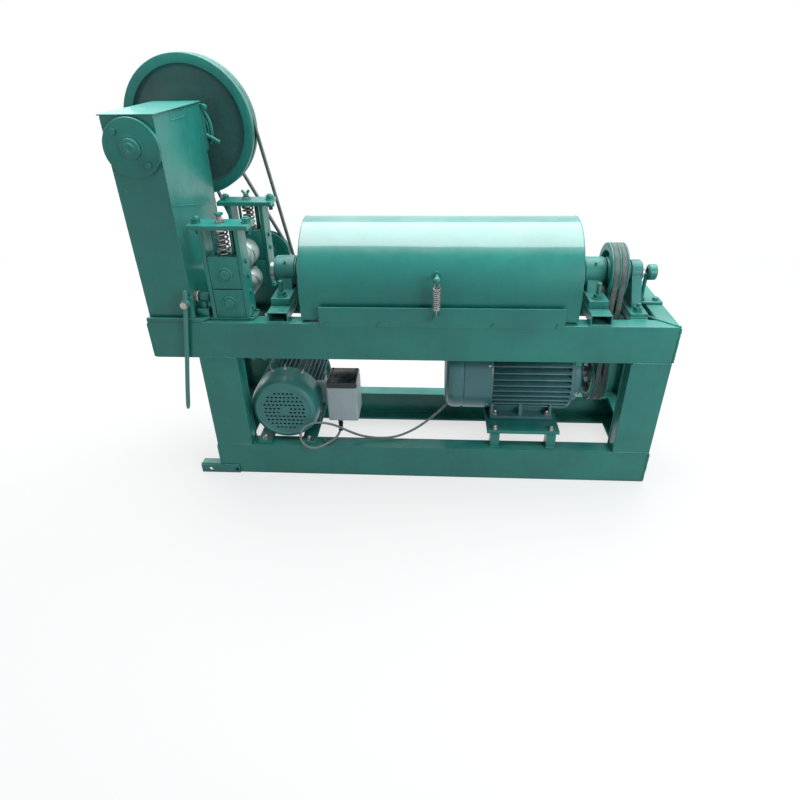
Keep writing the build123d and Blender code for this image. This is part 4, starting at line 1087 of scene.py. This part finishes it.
wireBack, wireUp = 190, 668
drumSupports = {"hubs": (401, 1351), "hubHalf": 29, "studBacks": (84, 296), "pedestal": ((1461, -1), (1491, 1))}


def makeDrumSupports(hubs, hubHalf, studBacks, pedestal):
    def lip(bore, outer):
        return [(bore, 0), (outer, 0), (outer + 1.5, 1.5), (outer + 1.5, 4), (outer - 1, 5.5), (bore, 5.5)]

    bolts, rings = bmesh.new(), bmesh.new()
    for middle in hubs:
        for back in studBacks:
            addBolt(bolts, (middle, back, 624), alongZ, 14, True, 34)
            # slotted clamp under each nut
            addTurned(rings, band(9, 17, 0, 5), (middle, back, 622.5), alongZ, 32, True, (1.2, 2))
        for side in (-1, 1):
            addTurned(rings, lip(32, 42), (middle + side * hubHalf, wireBack, wireUp), alongX * side, 56, True)
        nipple = [(0, 9), (3.4, 9), (4.2, 6), (3, 4), (3, 0), (5.6, 0), (5.6, -3)]
        addTurned(bolts, nipple, (middle, 160, 704), Vector((0, -0.64, 0.77)), 18)
    for back in studBacks:
        addBolt(bolts, (1475, back, 584), alongZ, 14, True, 12)
    for across, side in pedestal:
        addTurned(rings, lip(22.2, 32), (across, wireBack, wireUp), alongX * side, 48, True)
    finishPiece("drum-bearing-bolts", bolts, "paintedBolt", 32)
    finishPiece("drum-bearing-rings", rings, "cast", 40)


makeDrumSupports(**drumSupports)
tubeWelds = [(across, back, 62) for across in (370, 1320) for back in (4.5, 395.5)] + [(1449, 63, 52), (1449, 317, 52)]
weldGroup("cross-tube-welds", [[(across, back, 571), (across + length, back, 571)]
                               for across, back, length in tubeWelds], 3.4)

# Straightening drum: end rings, two bars, five dies with their set screws, and the hollow spindle
drum = {"start": 500, "end": 1260, "radius": 92, "bar": 34, "ring": 70, "dies": 5}


def makeDrum(start, end, radius, bar, ring, dies):
    back, up = wireBack, wireUp
    bm = bmesh.new()
    profile = [(30.1, 0), (88, 0), (91, 1.5), (92, 4), (92, 66), (91, 68.5), (88, 70), (9, 70), (9, 30.1), (30.1, 30.1)]
    addTurned(bm, profile, (start, back, up), alongX, 96, True)
    addTurned(bm, [(reach, ring - along) for reach, along in profile], (end - ring, back, up), alongX, 96, True)
    cut = math.asin((radius - bar) / radius)
    for sign in (1, -1):
        outline = []
        for step in range(25):
            turn = cut + (math.pi - 2 * cut) * step / 24
            outline.append((start + ring, back + radius * math.cos(turn), up + sign * radius * math.sin(turn)))
        addPrism(bm, outline, alongX * (end - start - 2 * ring) * millimetre, 2.0)
    finishPiece("drum-body", bm, "turned", 35, "straightening_drum")
    pitch = (end - start - 2 * ring) / dies
    screws, dieShapes = bmesh.new(), bmesh.new()
    for index in range(dies):
        across = start + ring + pitch * (index + 0.5)
        dieProfile = [(0, -58), (23, -58), (27, -54), (27, 54), (23, 58), (0, 58)]
        addTurned(dieShapes, dieProfile, (across, back, up), alongZ)
        for side in (-1, 1):
            addTurned(dieShapes, [(9, 0), (16, 0), (15, 3), (9, 3)], (across + side * 25.5, back, up), alongX * side,
                      32, True, (0.8, 2))
        for sign in (1, -1):
            for offset in (-14, 14):
                addThread(screws, (across, back + offset, up + sign * 86), alongZ * sign, 5.4, 8.5, 1.8)
                addHex(screws, (across, back + offset, up + sign * 90), alongZ * sign, 13, 6)
    finishPiece("drum-dies", dieShapes, "die", 35, "straightening_dies")
    finishPiece("drum-set-screws", screws, "bolt", 32, body="drum")
    bm = bmesh.new()
    left = [(7, 0), (28, 0), (30, 2), (30, 180), (7, 180)]
    right = [(7, 0), (30, 0), (30, 223), (28.5, 224.5), (22.4, 225), (22, 226), (22, 272), (20, 274), (7, 274)]
    for across, shape in ((350, left), (1230, right)):
        addTurned(bm, shape, (across, back, up), alongX, 64, True, (0.6, 2))
    finishPiece("drum-hollow-spindle", bm, "turned", 35, "drum_spindle")
    bm = bmesh.new()
    for across in (458, 1302):
        addTurned(bm, band(30, 38, -8, 8), (across, back, up), alongX, 48, True, (1.5, 2))
        addThread(bm, (across, back, up + 35), alongZ, 4, 6)
    finishPiece("drum-shaft-collars", bm, "bolt", 32, body="drum")


makeDrum(**drum)
print("straightening drum made")

# Drum cover: a rolled sheet with hand-made waviness between two slotted end plates
cover = {
    "start": 470, "end": 1288, "middle": 190, "centreUp": 655, "bottom": 577, "radius": 178, "wall": 3,
    "slot": (187, 49, 668), "wave": 0.7, "alongSteps": 64, "roundSteps": 96,
}


def coverOutline(settings, inset=0.0):
    middle, centreUp, bottom = settings["middle"], settings["centreUp"], settings["bottom"]
    radius = settings["radius"] - inset
    rises = [bottom + (centreUp - bottom) * step / 5 for step in range(5)]
    points = [(middle - radius, up) for up in rises]
    for step in range(settings["roundSteps"] + 1):
        turn = math.pi * (1 - step / settings["roundSteps"])
        points.append((middle + radius * math.cos(turn), centreUp + radius * math.sin(turn)))
    return points + [(middle + radius, up) for up in reversed(rises)]


def makeCover(settings):
    start, end, wall, wave = settings["start"], settings["end"], settings["wall"], settings["wave"]
    bm = bmesh.new()
    outer = coverOutline(settings)
    outline = outer + list(reversed(coverOutline(settings, wall)))
    sections = []
    for step in range(settings["alongSteps"] + 1):
        across = start + 1.2 + (end - start - 2.4) * step / settings["alongSteps"]
        ring = []
        for back, up in outline:
            outward = Vector((0, back - settings["middle"], max(up - settings["centreUp"], 0))).normalized()
            sway = noise.noise(Vector((across / 260, back / 150, up / 150))) * wave
            sway += noise.noise(Vector((across / 70, back / 55, up / 55))) * wave * 0.25
            ring.append(bm.verts.new(at(across, back, up) + outward * (sway - wave) * millimetre))
        sections.append(ring)
    joinRings(bm, zip(sections, sections[1:]))
    bm.faces.new(sections[0])
    bm.faces.new(list(reversed(sections[-1])))
    bmesh.ops.recalc_face_normals(bm, faces=bm.faces)
    finishPiece("drum-cover-sheet", bm, "coverSheet", 40, "drum_cover")
    bm = bmesh.new()
    slotBack, slotRadius, slotUp = settings["slot"]
    for across in (start, end - wall):
        outline = [(across, back, up) for back, up in outer]
        outline.append((across, slotBack + slotRadius, settings["bottom"]))
        for step in range(33):
            turn = math.pi * step / 32
            outline.append((across, slotBack + slotRadius * math.cos(turn), slotUp + slotRadius * math.sin(turn)))
        outline.append((across, slotBack - slotRadius, settings["bottom"]))
        addPrism(bm, outline, alongX * wall * millimetre, 0.9)
    finishPiece("drum-cover-ends", bm, "sheet", 40, "cover_ends")
    bm = bmesh.new()
    for across in (start + 3.4, end - 3.4):
        addWeld(bm, [(across, back, up) for back, up in coverOutline(settings, wall + 0.4)][::6], 2.2, across)
    finishPiece("drum-cover-welds", bm, "sheet", 60, body="cover")


makeCover(cover)
softenNode("cover_apron", "cover-front-plate", 1.0)
softenNode("hinge_bases", "hinge-base-leaves", 0.8, "fitting")
softenNode("hinge_knuckles", "hinge-cover-leaves", 0.8, "fitting")
hingeScrews = [(across, 369 + 3.2, up) for across in (624, 642, 1151, 1169) for up in (592, 608)]
boltGroup("hinge-screws", hingeScrews, alongY, 6, washer=False, body="cover")
plateBolts = [(across, -5, 571) for across in (548, 704, 1040, 1226)]
boltGroup("front-plate-bolts", plateBolts, -alongY, 6, washer=False, finish="fitting")

# Small fittings of the frame: bolts under the top rail, two screws by the motor, a tab and a rivet on the leg
boltGroup("top-rail-bolts", [(305, 16, 450), (342, 16, 450)], -alongZ, 9, stud=8, finish="paintedBolt")
boltGroup("bottom-rail-screws", [(462, 27, 125), (500, 28, 120)], alongZ, 7, finish="paintedBolt")
bm = bmesh.new()
addBlock(bm, (1296, 4, 436), (1316, 22, 450), 1.6)
addTurned(bm, [(0, 3), (3, 2.6), (5, 1), (5.4, -1)], (166, 0, 361), -alongY, 20)
finishPiece("frame-tabs", bm, "fitting", 45)

# Spring latch: a ball on the cover, a ring, a coil spring and a hook over the plate's hook
latch = {"across": 873, "back": -20, "ballUp": 714, "ballRadius": 10.6, "spring": (628, 690), "wire": 1.9, "coil": 10.0}


def makeLatch(across, back, ballUp, ballRadius, spring, wire, coil):
    bm = bmesh.new()
    ball = [(0, -ballRadius)]
    for step in range(1, 16):
        turn = math.pi * step / 16
        ball.append((ballRadius * math.sin(turn), -ballRadius * math.cos(turn)))
    addTurned(bm, ball + [(0, ballRadius)], (across, back - 1, ballUp), alongZ, 32)
    addTube(bm, [(across, back, ballUp), (across, 10, ballUp), (across, 23, ballUp)], 5.6, 18)
    addTurned(bm, band(5, 12, 0, 3), (across, 18, ballUp), alongY, 28, True, (0.8, 2))
    finishPiece("latch-knob", bm, "fitting", 50, "cover_latch")
    bm = bmesh.new()
    low, high = spring
    addTube(bm, helixPath((across, back, low), coil, high - low, 12, 18, 0.8), wire, 8)
    ring = []
    for step in range(29):
        turn = 2 * math.pi * step / 28
        ring.append(at(across, back, 700) + Vector((math.sin(turn) * 6.5, 0, math.cos(turn) * 10.5)) * millimetre)
    addTube(bm, ring, 1.8, 8)
    # the hook below the spring goes round the plate's hook
    hook = [(0, 1), (0, -6), (-1, -14), (-3, -19), (1, -25), (6, -24), (8, -19)]
    addTube(bm, [(across, back + forth, low + lift) for forth, lift in hook], 2.0, 10)
    addTube(bm, [(across - coil, back, high), (across - 4, back, high + 3), (across, back, high + 2)], wire, 8)
    addTube(bm, [(across + coil, back, low), (across + 4, back, low - 2), (across, back, low)], wire, 8)
    finishPiece("latch-spring", bm, "spring", 60, body="cover")


makeLatch(**latch)


# Wire eye on its rod beyond the pedestal
def makeEye(across, rod):
    bm = bmesh.new()
    profile = [(11, -11), (14, -13), (20, -13), (24, -10), (24, 10), (20, 13), (14, 13), (11, 11)]
    addTurned(bm, profile, (across, wireBack, wireUp), alongX, 56, True, (2.5, 4))
    addTurned(bm, band(0, 5.9, 0, 128), (rod, wireBack, 534), alongZ, 24)
    addThread(bm, (rod, wireBack, 534), alongZ, 6.0, 62, 2.0)
    for level in (556, 578):
        addHex(bm, (rod, wireBack, level), alongZ, 18, 10)
    addBlock(bm, (1503, 170, 570), (1579, 210, 578), 1.2)
    addBolt(bm, (1561, wireBack, 578), alongZ, 10)
    finishPiece("wire-eye-post", bm, "fitting", 38, "wire_eye")


makeEye(across=1531, rod=1517)
print("cover, latch and eye made")


# Motors: finned housings with perforated cowls, feet, end bells and boxes
def cutHoles(piece, cutter):
    # takes a group of closed shapes out of a piece
    mesh = bpy.data.meshes.new("cutter")
    cutter.to_mesh(mesh)
    cutter.free()
    tool = addObject("cutter", mesh)
    modifier = piece.modifiers.new("holes", "BOOLEAN")
    modifier.operation = "DIFFERENCE"
    modifier.solver = "EXACT"
    modifier.object = tool
    bpy.context.view_layer.update()
    cut = bpy.data.meshes.new_from_object(piece.evaluated_get(bpy.context.evaluated_depsgraph_get()))
    piece.modifiers.clear()
    piece.data = cut
    bpy.data.objects.remove(tool)


grille = {
    "rows": 10, "width": 9.6, "height": 7.0, "pitch": 14.0, "depth": 8, "hub": 15,
    "blades": 7, "bladeReach": (0.022, 0.080), "bladeHalf": 0.001, "bladeGap": 0.010, "bladeDepth": 0.017,
}


def grilleHoles(centre, axis, spread):
    # rows of short slots over a disc, leaving a plain hub
    side = axis.cross(alongZ).normalized()
    holes = bmesh.new()
    rows, pitch, depth = grille["rows"], grille["pitch"], grille["depth"]
    for row in range(rows):
        level = -spread + 2 * spread / (rows + 1) * (row + 1)
        count = int(2 * (math.sqrt(max(spread ** 2 - level ** 2, 0)) - 4) / pitch)
        shift = 0.25 if row % 2 else 0.0
        for index in range(count):
            along = (index - (count - 1) / 2 + shift) * pitch
            if not grille["hub"] <= math.hypot(along, level) <= spread - 3:
                continue
            ring = []
            for step in range(12):
                turn = 2 * math.pi * step / 12
                ring.append(centre + (side * (along + grille["width"] / 2 * math.cos(turn))
                                      + alongZ * (level + grille["height"] / 2 * math.sin(turn))
                                      - axis * depth / 2) * millimetre)
            addPrism(holes, ring, axis * depth * millimetre)
    return holes


def makeCowl(name, centre, axis, profile, radius, finish):
    bm = bmesh.new()
    addTurned(bm, profile, centre, axis, 96, True, (2.0, 3))
    finishPiece(name, bm, finish, 45)
    bm = bmesh.new()
    addTurned(bm, band(0, radius, 3.0, 5.4), centre, axis, 96)
    cutHoles(finishPiece(name + "-grille", bm, finish, 45), grilleHoles(centre + axis * 0.0042, axis, radius - 8))
    bm = bmesh.new()
    # fan behind the holes
    addTurned(bm, band(0, radius + 6, 26, 29), centre, axis)
    side = axis.cross(alongZ).normalized()
    for blade in range(grille["blades"]):
        outward = around(side, alongZ, 2 * math.pi * blade / grille["blades"])
        thickness = axis.cross(outward) * grille["bladeHalf"]
        root, tip = (centre + outward * reach for reach in grille["bladeReach"])
        corners = [root - thickness, tip - thickness, tip + thickness, root + thickness]
        addPrism(bm, [corner + axis * grille["bladeGap"] for corner in corners], axis * grille["bladeDepth"])
    finishPiece(name + "-fan", bm, "hollow", 45)


motorLeft = {
    "across": 374, "up": 238, "front": 28, "core": 98, "fins": (128, 318), "finCount": 44, "finHalf": 1.9,
    "cowl": [(86, 2), (90, 0), (94, 0.5), (104, 7), (111, 20), (115, 40), (115, 96), (114, 100), (110.5, 100),
             (110.5, 40), (106, 22), (99, 10), (90, 5), (86, 5)],
    "screwTurns": (62, 90, 112, 205, 335),
}


def makeMotorLeft(across, up, front, core, fins, finCount, finHalf, cowl, screwTurns):
    centre = at(across, front, up)
    makeCowl("motor-left-cowl", centre, alongY, cowl, 88, "motorTealLit")
    bm = bmesh.new()
    start, end = fins
    profile = [(0, 60), (core - 4, 60), (core, 96), (core, 290), (109, 291), (111, 294), (111, 303), (108, 306),
               (98, 314), (70, 320), (64, 329), (40, 330), (21, 330), (21, 322), (0, 322)]
    addTurned(bm, profile, centre, alongY, 96)
    for fin in range(finCount):
        turn = 2 * math.pi * (fin + 0.5) / finCount
        if abs(math.degrees(turn) - 270) < 46 or math.degrees(turn) < 20 or math.degrees(turn) > 340:
            continue
        outward = around(alongX, alongZ, turn)
        sideways = outward.cross(alongY)
        shape = [(core - 2, -1.4), (112.6, -0.7), (113.6, 0), (112.6, 0.7), (core - 2, 1.4)]
        shift = alongY * (start - front - 26) * millimetre
        addPrism(bm, [centre + (outward * reach + sideways * finHalf * share) * millimetre + shift
                      for reach, share in shape], alongY * (end - start + 24) * millimetre, 0.5, 1)
    for low, high in ((130, 174), (250, 294)):
        for side in (-1, 1):
            inner, outer = across + side * 44, across + side * 95
            addBlock(bm, (min(inner, outer), low, 125), (max(inner, outer), high, 137), 2.2)
            for back in (low + 5, high - 5):
                web = [(44, 128), (90, 134), (86, 178), (66, 178), (44, 150)]
                addPrism(bm, [(across + side * reach, back - 3.5, level) for reach, level in web],
                         alongY * 7 * millimetre, 1.0, 1)
    # terminal arm on the right side
    addBlock(bm, (across + 92, 134, 212), (across + 112, 240, 268), 3)
    finishPiece("motor-left-housing", bm, "motorCast", 38, "motor_left")
    bolts = [(across + side * 78, back, 137) for side in (-1, 1) for back in (152, 272)]
    boltGroup("motor-left-foot-bolts", bolts, alongZ, 10, stud=8)
    bm = bmesh.new()
    for turn in screwTurns:
        outward = heading(turn)
        head = centre + outward * 0.1145 + alongY * 0.082
        addTurned(bm, [(0, 6), (3.2, 5.4), (5, 3), (5.2, 0), (5.2, -1)], head, outward, 20)
        if turn < 180:
            addThread(bm, head + outward * 0.004, outward, 2.3, 14, 1.6, 12)
    finishPiece("motor-left-cowl-screws", bm, "bolt", 40)
    turnedPiece("motor-left-shaft", [(0, 0), (19, 0), (19, 98), (17, 100.9), (4, 100.9), (0, 97)], (across, 358, up),
                alongY, "turned", "motor_left_shaft", steps=40)


makeMotorLeft(**motorLeft)
softenNode("motor_left_bearers", "motor-left-bearers", 1.0)
bearerBolts = [(across, back, 125) for across in (299, 449) for back in (30, 372)]
boltGroup("motor-left-bearer-bolts", bearerBolts, alongZ, 10, stud=6)


def makeLeftBox(low, high, lid):
    (left, front, floor), (right, back, top) = low, high
    bm = bmesh.new()
    addBlock(bm, low, (right, back, lid + 6), 5, 4)
    addBlock(bm, (right - 96, front - 1.6, floor + 6), (right - 4, front + 2, lid - 8), 2.5, 3)
    addBlock(bm, (434, 130, 213), (534, 147, 293), 3, 3)
    for across in (450, 512):
        addTurned(bm, [(0, 4), (4, 3.4), (6, 1.6), (6.4, -1)], (across, 130, 253), -alongY, 20)
    finishPiece("motor-left-switch-box", bm, "paleBox", 42, "motor_left_box")
    bm = bmesh.new()
    addBlock(bm, (left + 1, front + 1, lid), (right - 1, back - 1, top), 6, 4)
    addBlock(bm, (left + 16, front + 16, top - 3), (right - 16, back - 16, top + 0.8), 1.4, 3)
    for across in (left + 10, right - 10):
        for depth in (front + 10, back - 10):
            addTurned(bm, [(0, 0.6), (2, 1.4), (3.6, 1.2), (4, -1)], (across, depth, top), alongZ, 16)
    finishPiece("motor-left-box-lid", bm, "darkLid", 42)
    bm = bmesh.new()
    gland = [(4.2, 0), (6.4, 0), (7.4, 8), (9.2, 10), (9.2, 22), (4.2, 22)]
    addTurned(bm, gland, (556, 60, 174), alongZ, 28, True)
    finishPiece("motor-left-gland", bm, "darkLid", 42)


makeLeftBox(low=(520, 40, 196), high=(620, 147, 344), lid=318)
print("left motor made")

motorRight = {
    "back": 200, "up": 312, "start": 908, "cowlEnd": 1064, "finsEnd": 1315, "end": 1367, "radius": 128, "core": 100,
    "finPitch": 20.0, "finHalf": 3.6,
    "cowl": [(92, 2), (96, 0), (101, 0.4), (112, 4), (122, 12), (127, 24), (128, 34), (128, 54), (126.4, 56.4),
             (124.6, 57), (124.6, 61), (126.4, 61.6), (128, 64), (128, 150), (126.8, 155), (124, 156), (122, 150),
             (121, 60), (118, 24), (108, 12), (96, 6), (92, 5)],
    "bellTurns": (18, 72, 126, 198, 252, 306),
    "cowlScrewTurns": (35, 145, 215, 325),
}


def makeMotorRight(back, up, start, cowlEnd, finsEnd, end, radius, core, finPitch, finHalf, cowl, bellTurns,
                   cowlScrewTurns):
    centre = at(start, back, up)
    makeCowl("motor-right-cowl", centre, alongX, cowl, 94, "motorSheet")
    bm = bmesh.new()
    near, far = cowlEnd - start, finsEnd - start
    bell = [(core, -4), (118, -2), (121, 0), (121, 9), (118, 12), (102, 14), (98, 32), (84, 42), (56, 46), (50, 51),
            (30, 52), (19.4, 52), (19.4, 40), (0, 40)]
    addTurned(bm, [(0, 70), (core - 6, 70), (core, 140)] + [(reach, far + along) for reach, along in bell],
              centre, alongX, 112)
    reach = radius - 1.2
    shift = alongX * (near - 4) * millimetre
    levels = [(step + 0.5) * finPitch * sign for step in range(6) for sign in (1, -1)]
    for outward, upward, signs in ((alongY, alongZ, (-1, 1)), (alongZ, alongY, (1,))):
        for sign in signs:
            for level in levels:
                if outward is alongZ and abs(level) > 70:
                    continue
                outer = math.sqrt(reach ** 2 - level ** 2)
                inner = math.sqrt(max((core - 4) ** 2 - level ** 2, 30 ** 2))
                shape = [(inner, finHalf * 1.5), (outer - 1.6, finHalf * 0.8), (outer, 0),
                         (outer - 1.6, -finHalf * 0.8), (inner, -finHalf * 1.5)]
                addPrism(bm, [centre + shift + (outward * sign * place + upward * (level + thick)) * millimetre
                              for place, thick in shape], alongX * (far - near + 6) * millimetre, 0.6, 1)

    def footBlock(first, last, low, high, side, nearReach, farReach, bevel):
        reaches = sorted((back + side * nearReach, back + side * farReach))
        addBlock(bm, (first, reaches[0], low), (last, reaches[1], high), bevel)

    # feet: long flanges with a rib at each end and one in the middle
    for side in (-1, 1):
        footBlock(1062, 1272, 180, 193, side, 62, 108, 2.4)
        for across, width in ((1064, 9), (1158, 12), (1259, 9)):
            rib = [(52, 186), (104, 188), (98, 206), (92, 236), (62, 236)]
            addPrism(bm, [(across, back + side * depth, level) for depth, level in rib],
                     alongX * width * millimetre, 1.2)
        footBlock(1066, 1268, 186, 226, side, 50, 74, 3.0)
    # bell bolts and bosses
    for turn in bellTurns:
        outward = heading(turn, alongY)
        addTurned(bm, [(0, 0), (13, 0), (11, 15), (0, 15)], centre + outward * 0.104 + alongX * (far + 6) * millimetre,
                  alongX, 24, soft=(2, 2))
        rib = outward.cross(alongX)
        ring = [centre + (outward * place + rib * thick) * millimetre + alongX * (far + 12) * millimetre
                for place, thick in ((40, 3), (97, 3), (97, -3), (40, -3))]
        addPrism(bm, ring, alongX * 33 * millimetre, 1.2)
    addTurned(bm, band(0, 9, 0, 10), centre + alongZ * 0.120 + alongX * 0.28, alongZ, 24, soft=(2, 2))
    finishPiece("motor-right-housing", bm, "motorCast", 38, "motor_right")
    bolts = bmesh.new()
    for turn in bellTurns:
        addHex(bolts, centre + heading(turn, alongY) * 0.104 + alongX * (far + 20.5) * millimetre, alongX, 14, 6.5)
    for across in (1080, 1254):
        for side in (-1, 1):
            addBolt(bolts, (across, back + side * 92, 193), alongZ, 11, True, 7)
    for turn in cowlScrewTurns:
        outward = heading(turn, alongY)
        addTurned(bolts, [(0, 3.4), (3, 3), (5, 1.4), (5.2, -1)], centre + outward * 0.1275 + alongX * 0.142, outward,
                  20)
    finishPiece("motor-right-bolts", bolts, "bolt", 32)
    turnedPiece("motor-right-shaft", [(0, 0), (19, 0), (19, 71), (17, 75), (4, 75), (0, 71)], (end, back, up), alongX,
                "turned", "motor_right_shaft", steps=40)


makeMotorRight(**motorRight)
softenNode("motor_right_base", "motor-right-base-plate", 1.4)
baseBolts = [(across, back, 180) for across in (1076, 1260) for back in (36, 364)]
boltGroup("motor-right-base-bolts", baseBolts, alongZ, 10, stud=5)
baseWelds = [[(across, back, 121), (across + 30, back, 121)] for across in (1061, 1245) for back in (16, 56)]
weldGroup("motor-base-welds", baseWelds, 3.2)


def makeRightBox():
    bm = bmesh.new()
    addBlock(bm, (1102, 322, 254), (1218, 378, 360), 5, 3)
    addBlock(bm, (1106, 376, 258), (1214, 384, 356), 3, 3)
    for across in (1114, 1206):
        for up in (266, 348):
            addTurned(bm, [(0, 1), (2.4, 2.4), (4.6, 2), (5, -2)], (across, 384, up), alongY, 18)
    finishPiece("motor-right-terminal-box", bm, "motorCast", 42, "motor_right_box")
    bm = bmesh.new()
    gland = [(4.2, 0), (6.0, 0), (7.6, 10), (9.2, 12), (9.2, 26), (4.2, 26)]
    addTurned(bm, gland, (1076, 352, 312), alongX, 28, True)
    finishPiece("motor-right-gland", bm, "darkLid", 42)


makeRightBox()
print("right motor made")


# Strain reliefs: tapered ribbed sleeves where the cable leaves and enters its boxes
def makeReliefs(length, ribs):
    bm = bmesh.new()
    profile = [(4.1, 0)]
    step = length / ribs
    for rib in range(ribs):
        start = length * rib / ribs
        radius = 8.6 - 3.4 * rib / ribs
        profile += [(radius, start + 0.4), (radius - 0.5, start + step * 0.6), (radius - 1.9, start + step * 0.7),
                    (radius - 1.9, start + step * 0.95)]
    profile += [(4.6, length), (4.1, length)]
    for place, axis in (((556, 60, 176), -alongZ), ((1078, 352, 312), -alongX)):
        addTurned(bm, profile, place, axis, 24, True)
    finishPiece("cable-strain-reliefs", bm, "darkLid", 40)


makeReliefs(length=26, ribs=5)
print("strain reliefs made")

# Floor, backdrop and soft studio light
white = (1, 1, 1, 1)
studio = {
    "floor": ((0.27, 0.28, 0.28, 1), (0.26, 0.27, 0.28, 1)),
    "skyTint": (0.74, 0.87, 1.0, 1),
    "skyStrength": 0.10,
    "glow": 0.68,
    "clearRadius": (1.5, 3.6),
    "lamps": [
        ("overhead", (900, 1300, 3300), (900, 1300, 500), (4.6, 3.8), 215),
        ("frontRight", (2500, -1500, 1300), (1500, 0, 450), (1.0, 1.0), 17),
        ("frontLeft", (-1400, -2600, 2300), (300, 0, 500), (1.6, 1.6), 2.5),
        ("backRim", (-1800, 2600, 1500), (300, 200, 700), (1.6, 1.6), 22),
    ],
}


def seenDirectly(tree):
    # 1 where the camera looks, also in reflections and through glass
    path = addNode(tree, "ShaderNodeLightPath").outputs
    return add(tree, add(tree, path["Is Camera Ray"], path["Is Glossy Ray"]), path["Is Transmission Ray"], clamp=True)


def mixShaders(tree, share, first, second):
    return addNode(tree, "ShaderNodeMixShader", {"Fac": share, 1: first, 2: second}).outputs["Shader"]


def makeFloor(floor, glow, clearRadius):
    bm = bmesh.new()
    bmesh.ops.create_grid(bm, x_segments=2, y_segments=2, size=40.0)
    mesh = bpy.data.meshes.new("floor")
    bm.to_mesh(mesh)
    bm.free()
    finish, tree, shader = startMaterial("floorPaint", {"Roughness": 0.75, "Specular IOR Level": 0.2})
    mottle = multiply(tree, addNoise(tree, scaledPlace(tree), 3.0, 4.0), 0.05)
    connect(tree, shader, {"Base Color": addMix(tree, mottle, *floor)})
    # the camera sees a plain white ground that still keeps the machine's shadow
    paint = shader.outputs["BSDF"]
    shine = addNode(tree, "ShaderNodeEmission", {"Color": white, "Strength": glow}).outputs["Emission"]
    lit = addNode(tree, "ShaderNodeAddShader", {0: paint, 1: shine}).outputs["Shader"]
    # far from the machine the ground runs out to plain white
    place = addNode(tree, "ShaderNodeTexCoord").outputs["Object"]
    distance = addNode(tree, "ShaderNodeVectorMath", {0: place}, operation="LENGTH").outputs["Value"]
    plain = addNode(tree, "ShaderNodeEmission", {"Color": white, "Strength": 1.0}).outputs["Emission"]
    ground = mixShaders(tree, addRamp(tree, distance, *clearRadius), lit, plain)
    connect(tree, tree.nodes["Material Output"], {"Surface": mixShaders(tree, seenDirectly(tree), paint, ground)})
    mesh.materials.append(finish)
    addObject("floor", mesh)


def makeStudio(floor, skyTint, skyStrength, glow, clearRadius, lamps):
    bpy.context.scene.view_settings.view_transform = "Standard"
    makeFloor(floor, glow, clearRadius)
    world = bpy.data.worlds.new("studio")
    world.use_nodes = True
    bpy.context.scene.world = world
    sky = world.node_tree
    soft = sky.nodes["Background"]
    connect(sky, soft, {"Color": skyTint, "Strength": skyStrength})
    plain = addNode(sky, "ShaderNodeBackground", {"Color": white, "Strength": 1.0}).outputs["Background"]
    either = mixShaders(sky, seenDirectly(sky), soft.outputs["Background"], plain)
    connect(sky, sky.nodes["World Output"], {"Surface": either})
    for name, place, target, size, power in lamps:
        lamp = bpy.data.lights.new(name, "AREA")
        lamp.shape = "RECTANGLE"
        lamp.size, lamp.size_y = size
        lamp.energy = power
        light = addObject(name, lamp)
        light.location = at(*place)
        light.rotation_euler = (at(*target) - at(*place)).to_track_quat("-Z", "Y").to_euler()


makeStudio(**studio)
print("studio lit")
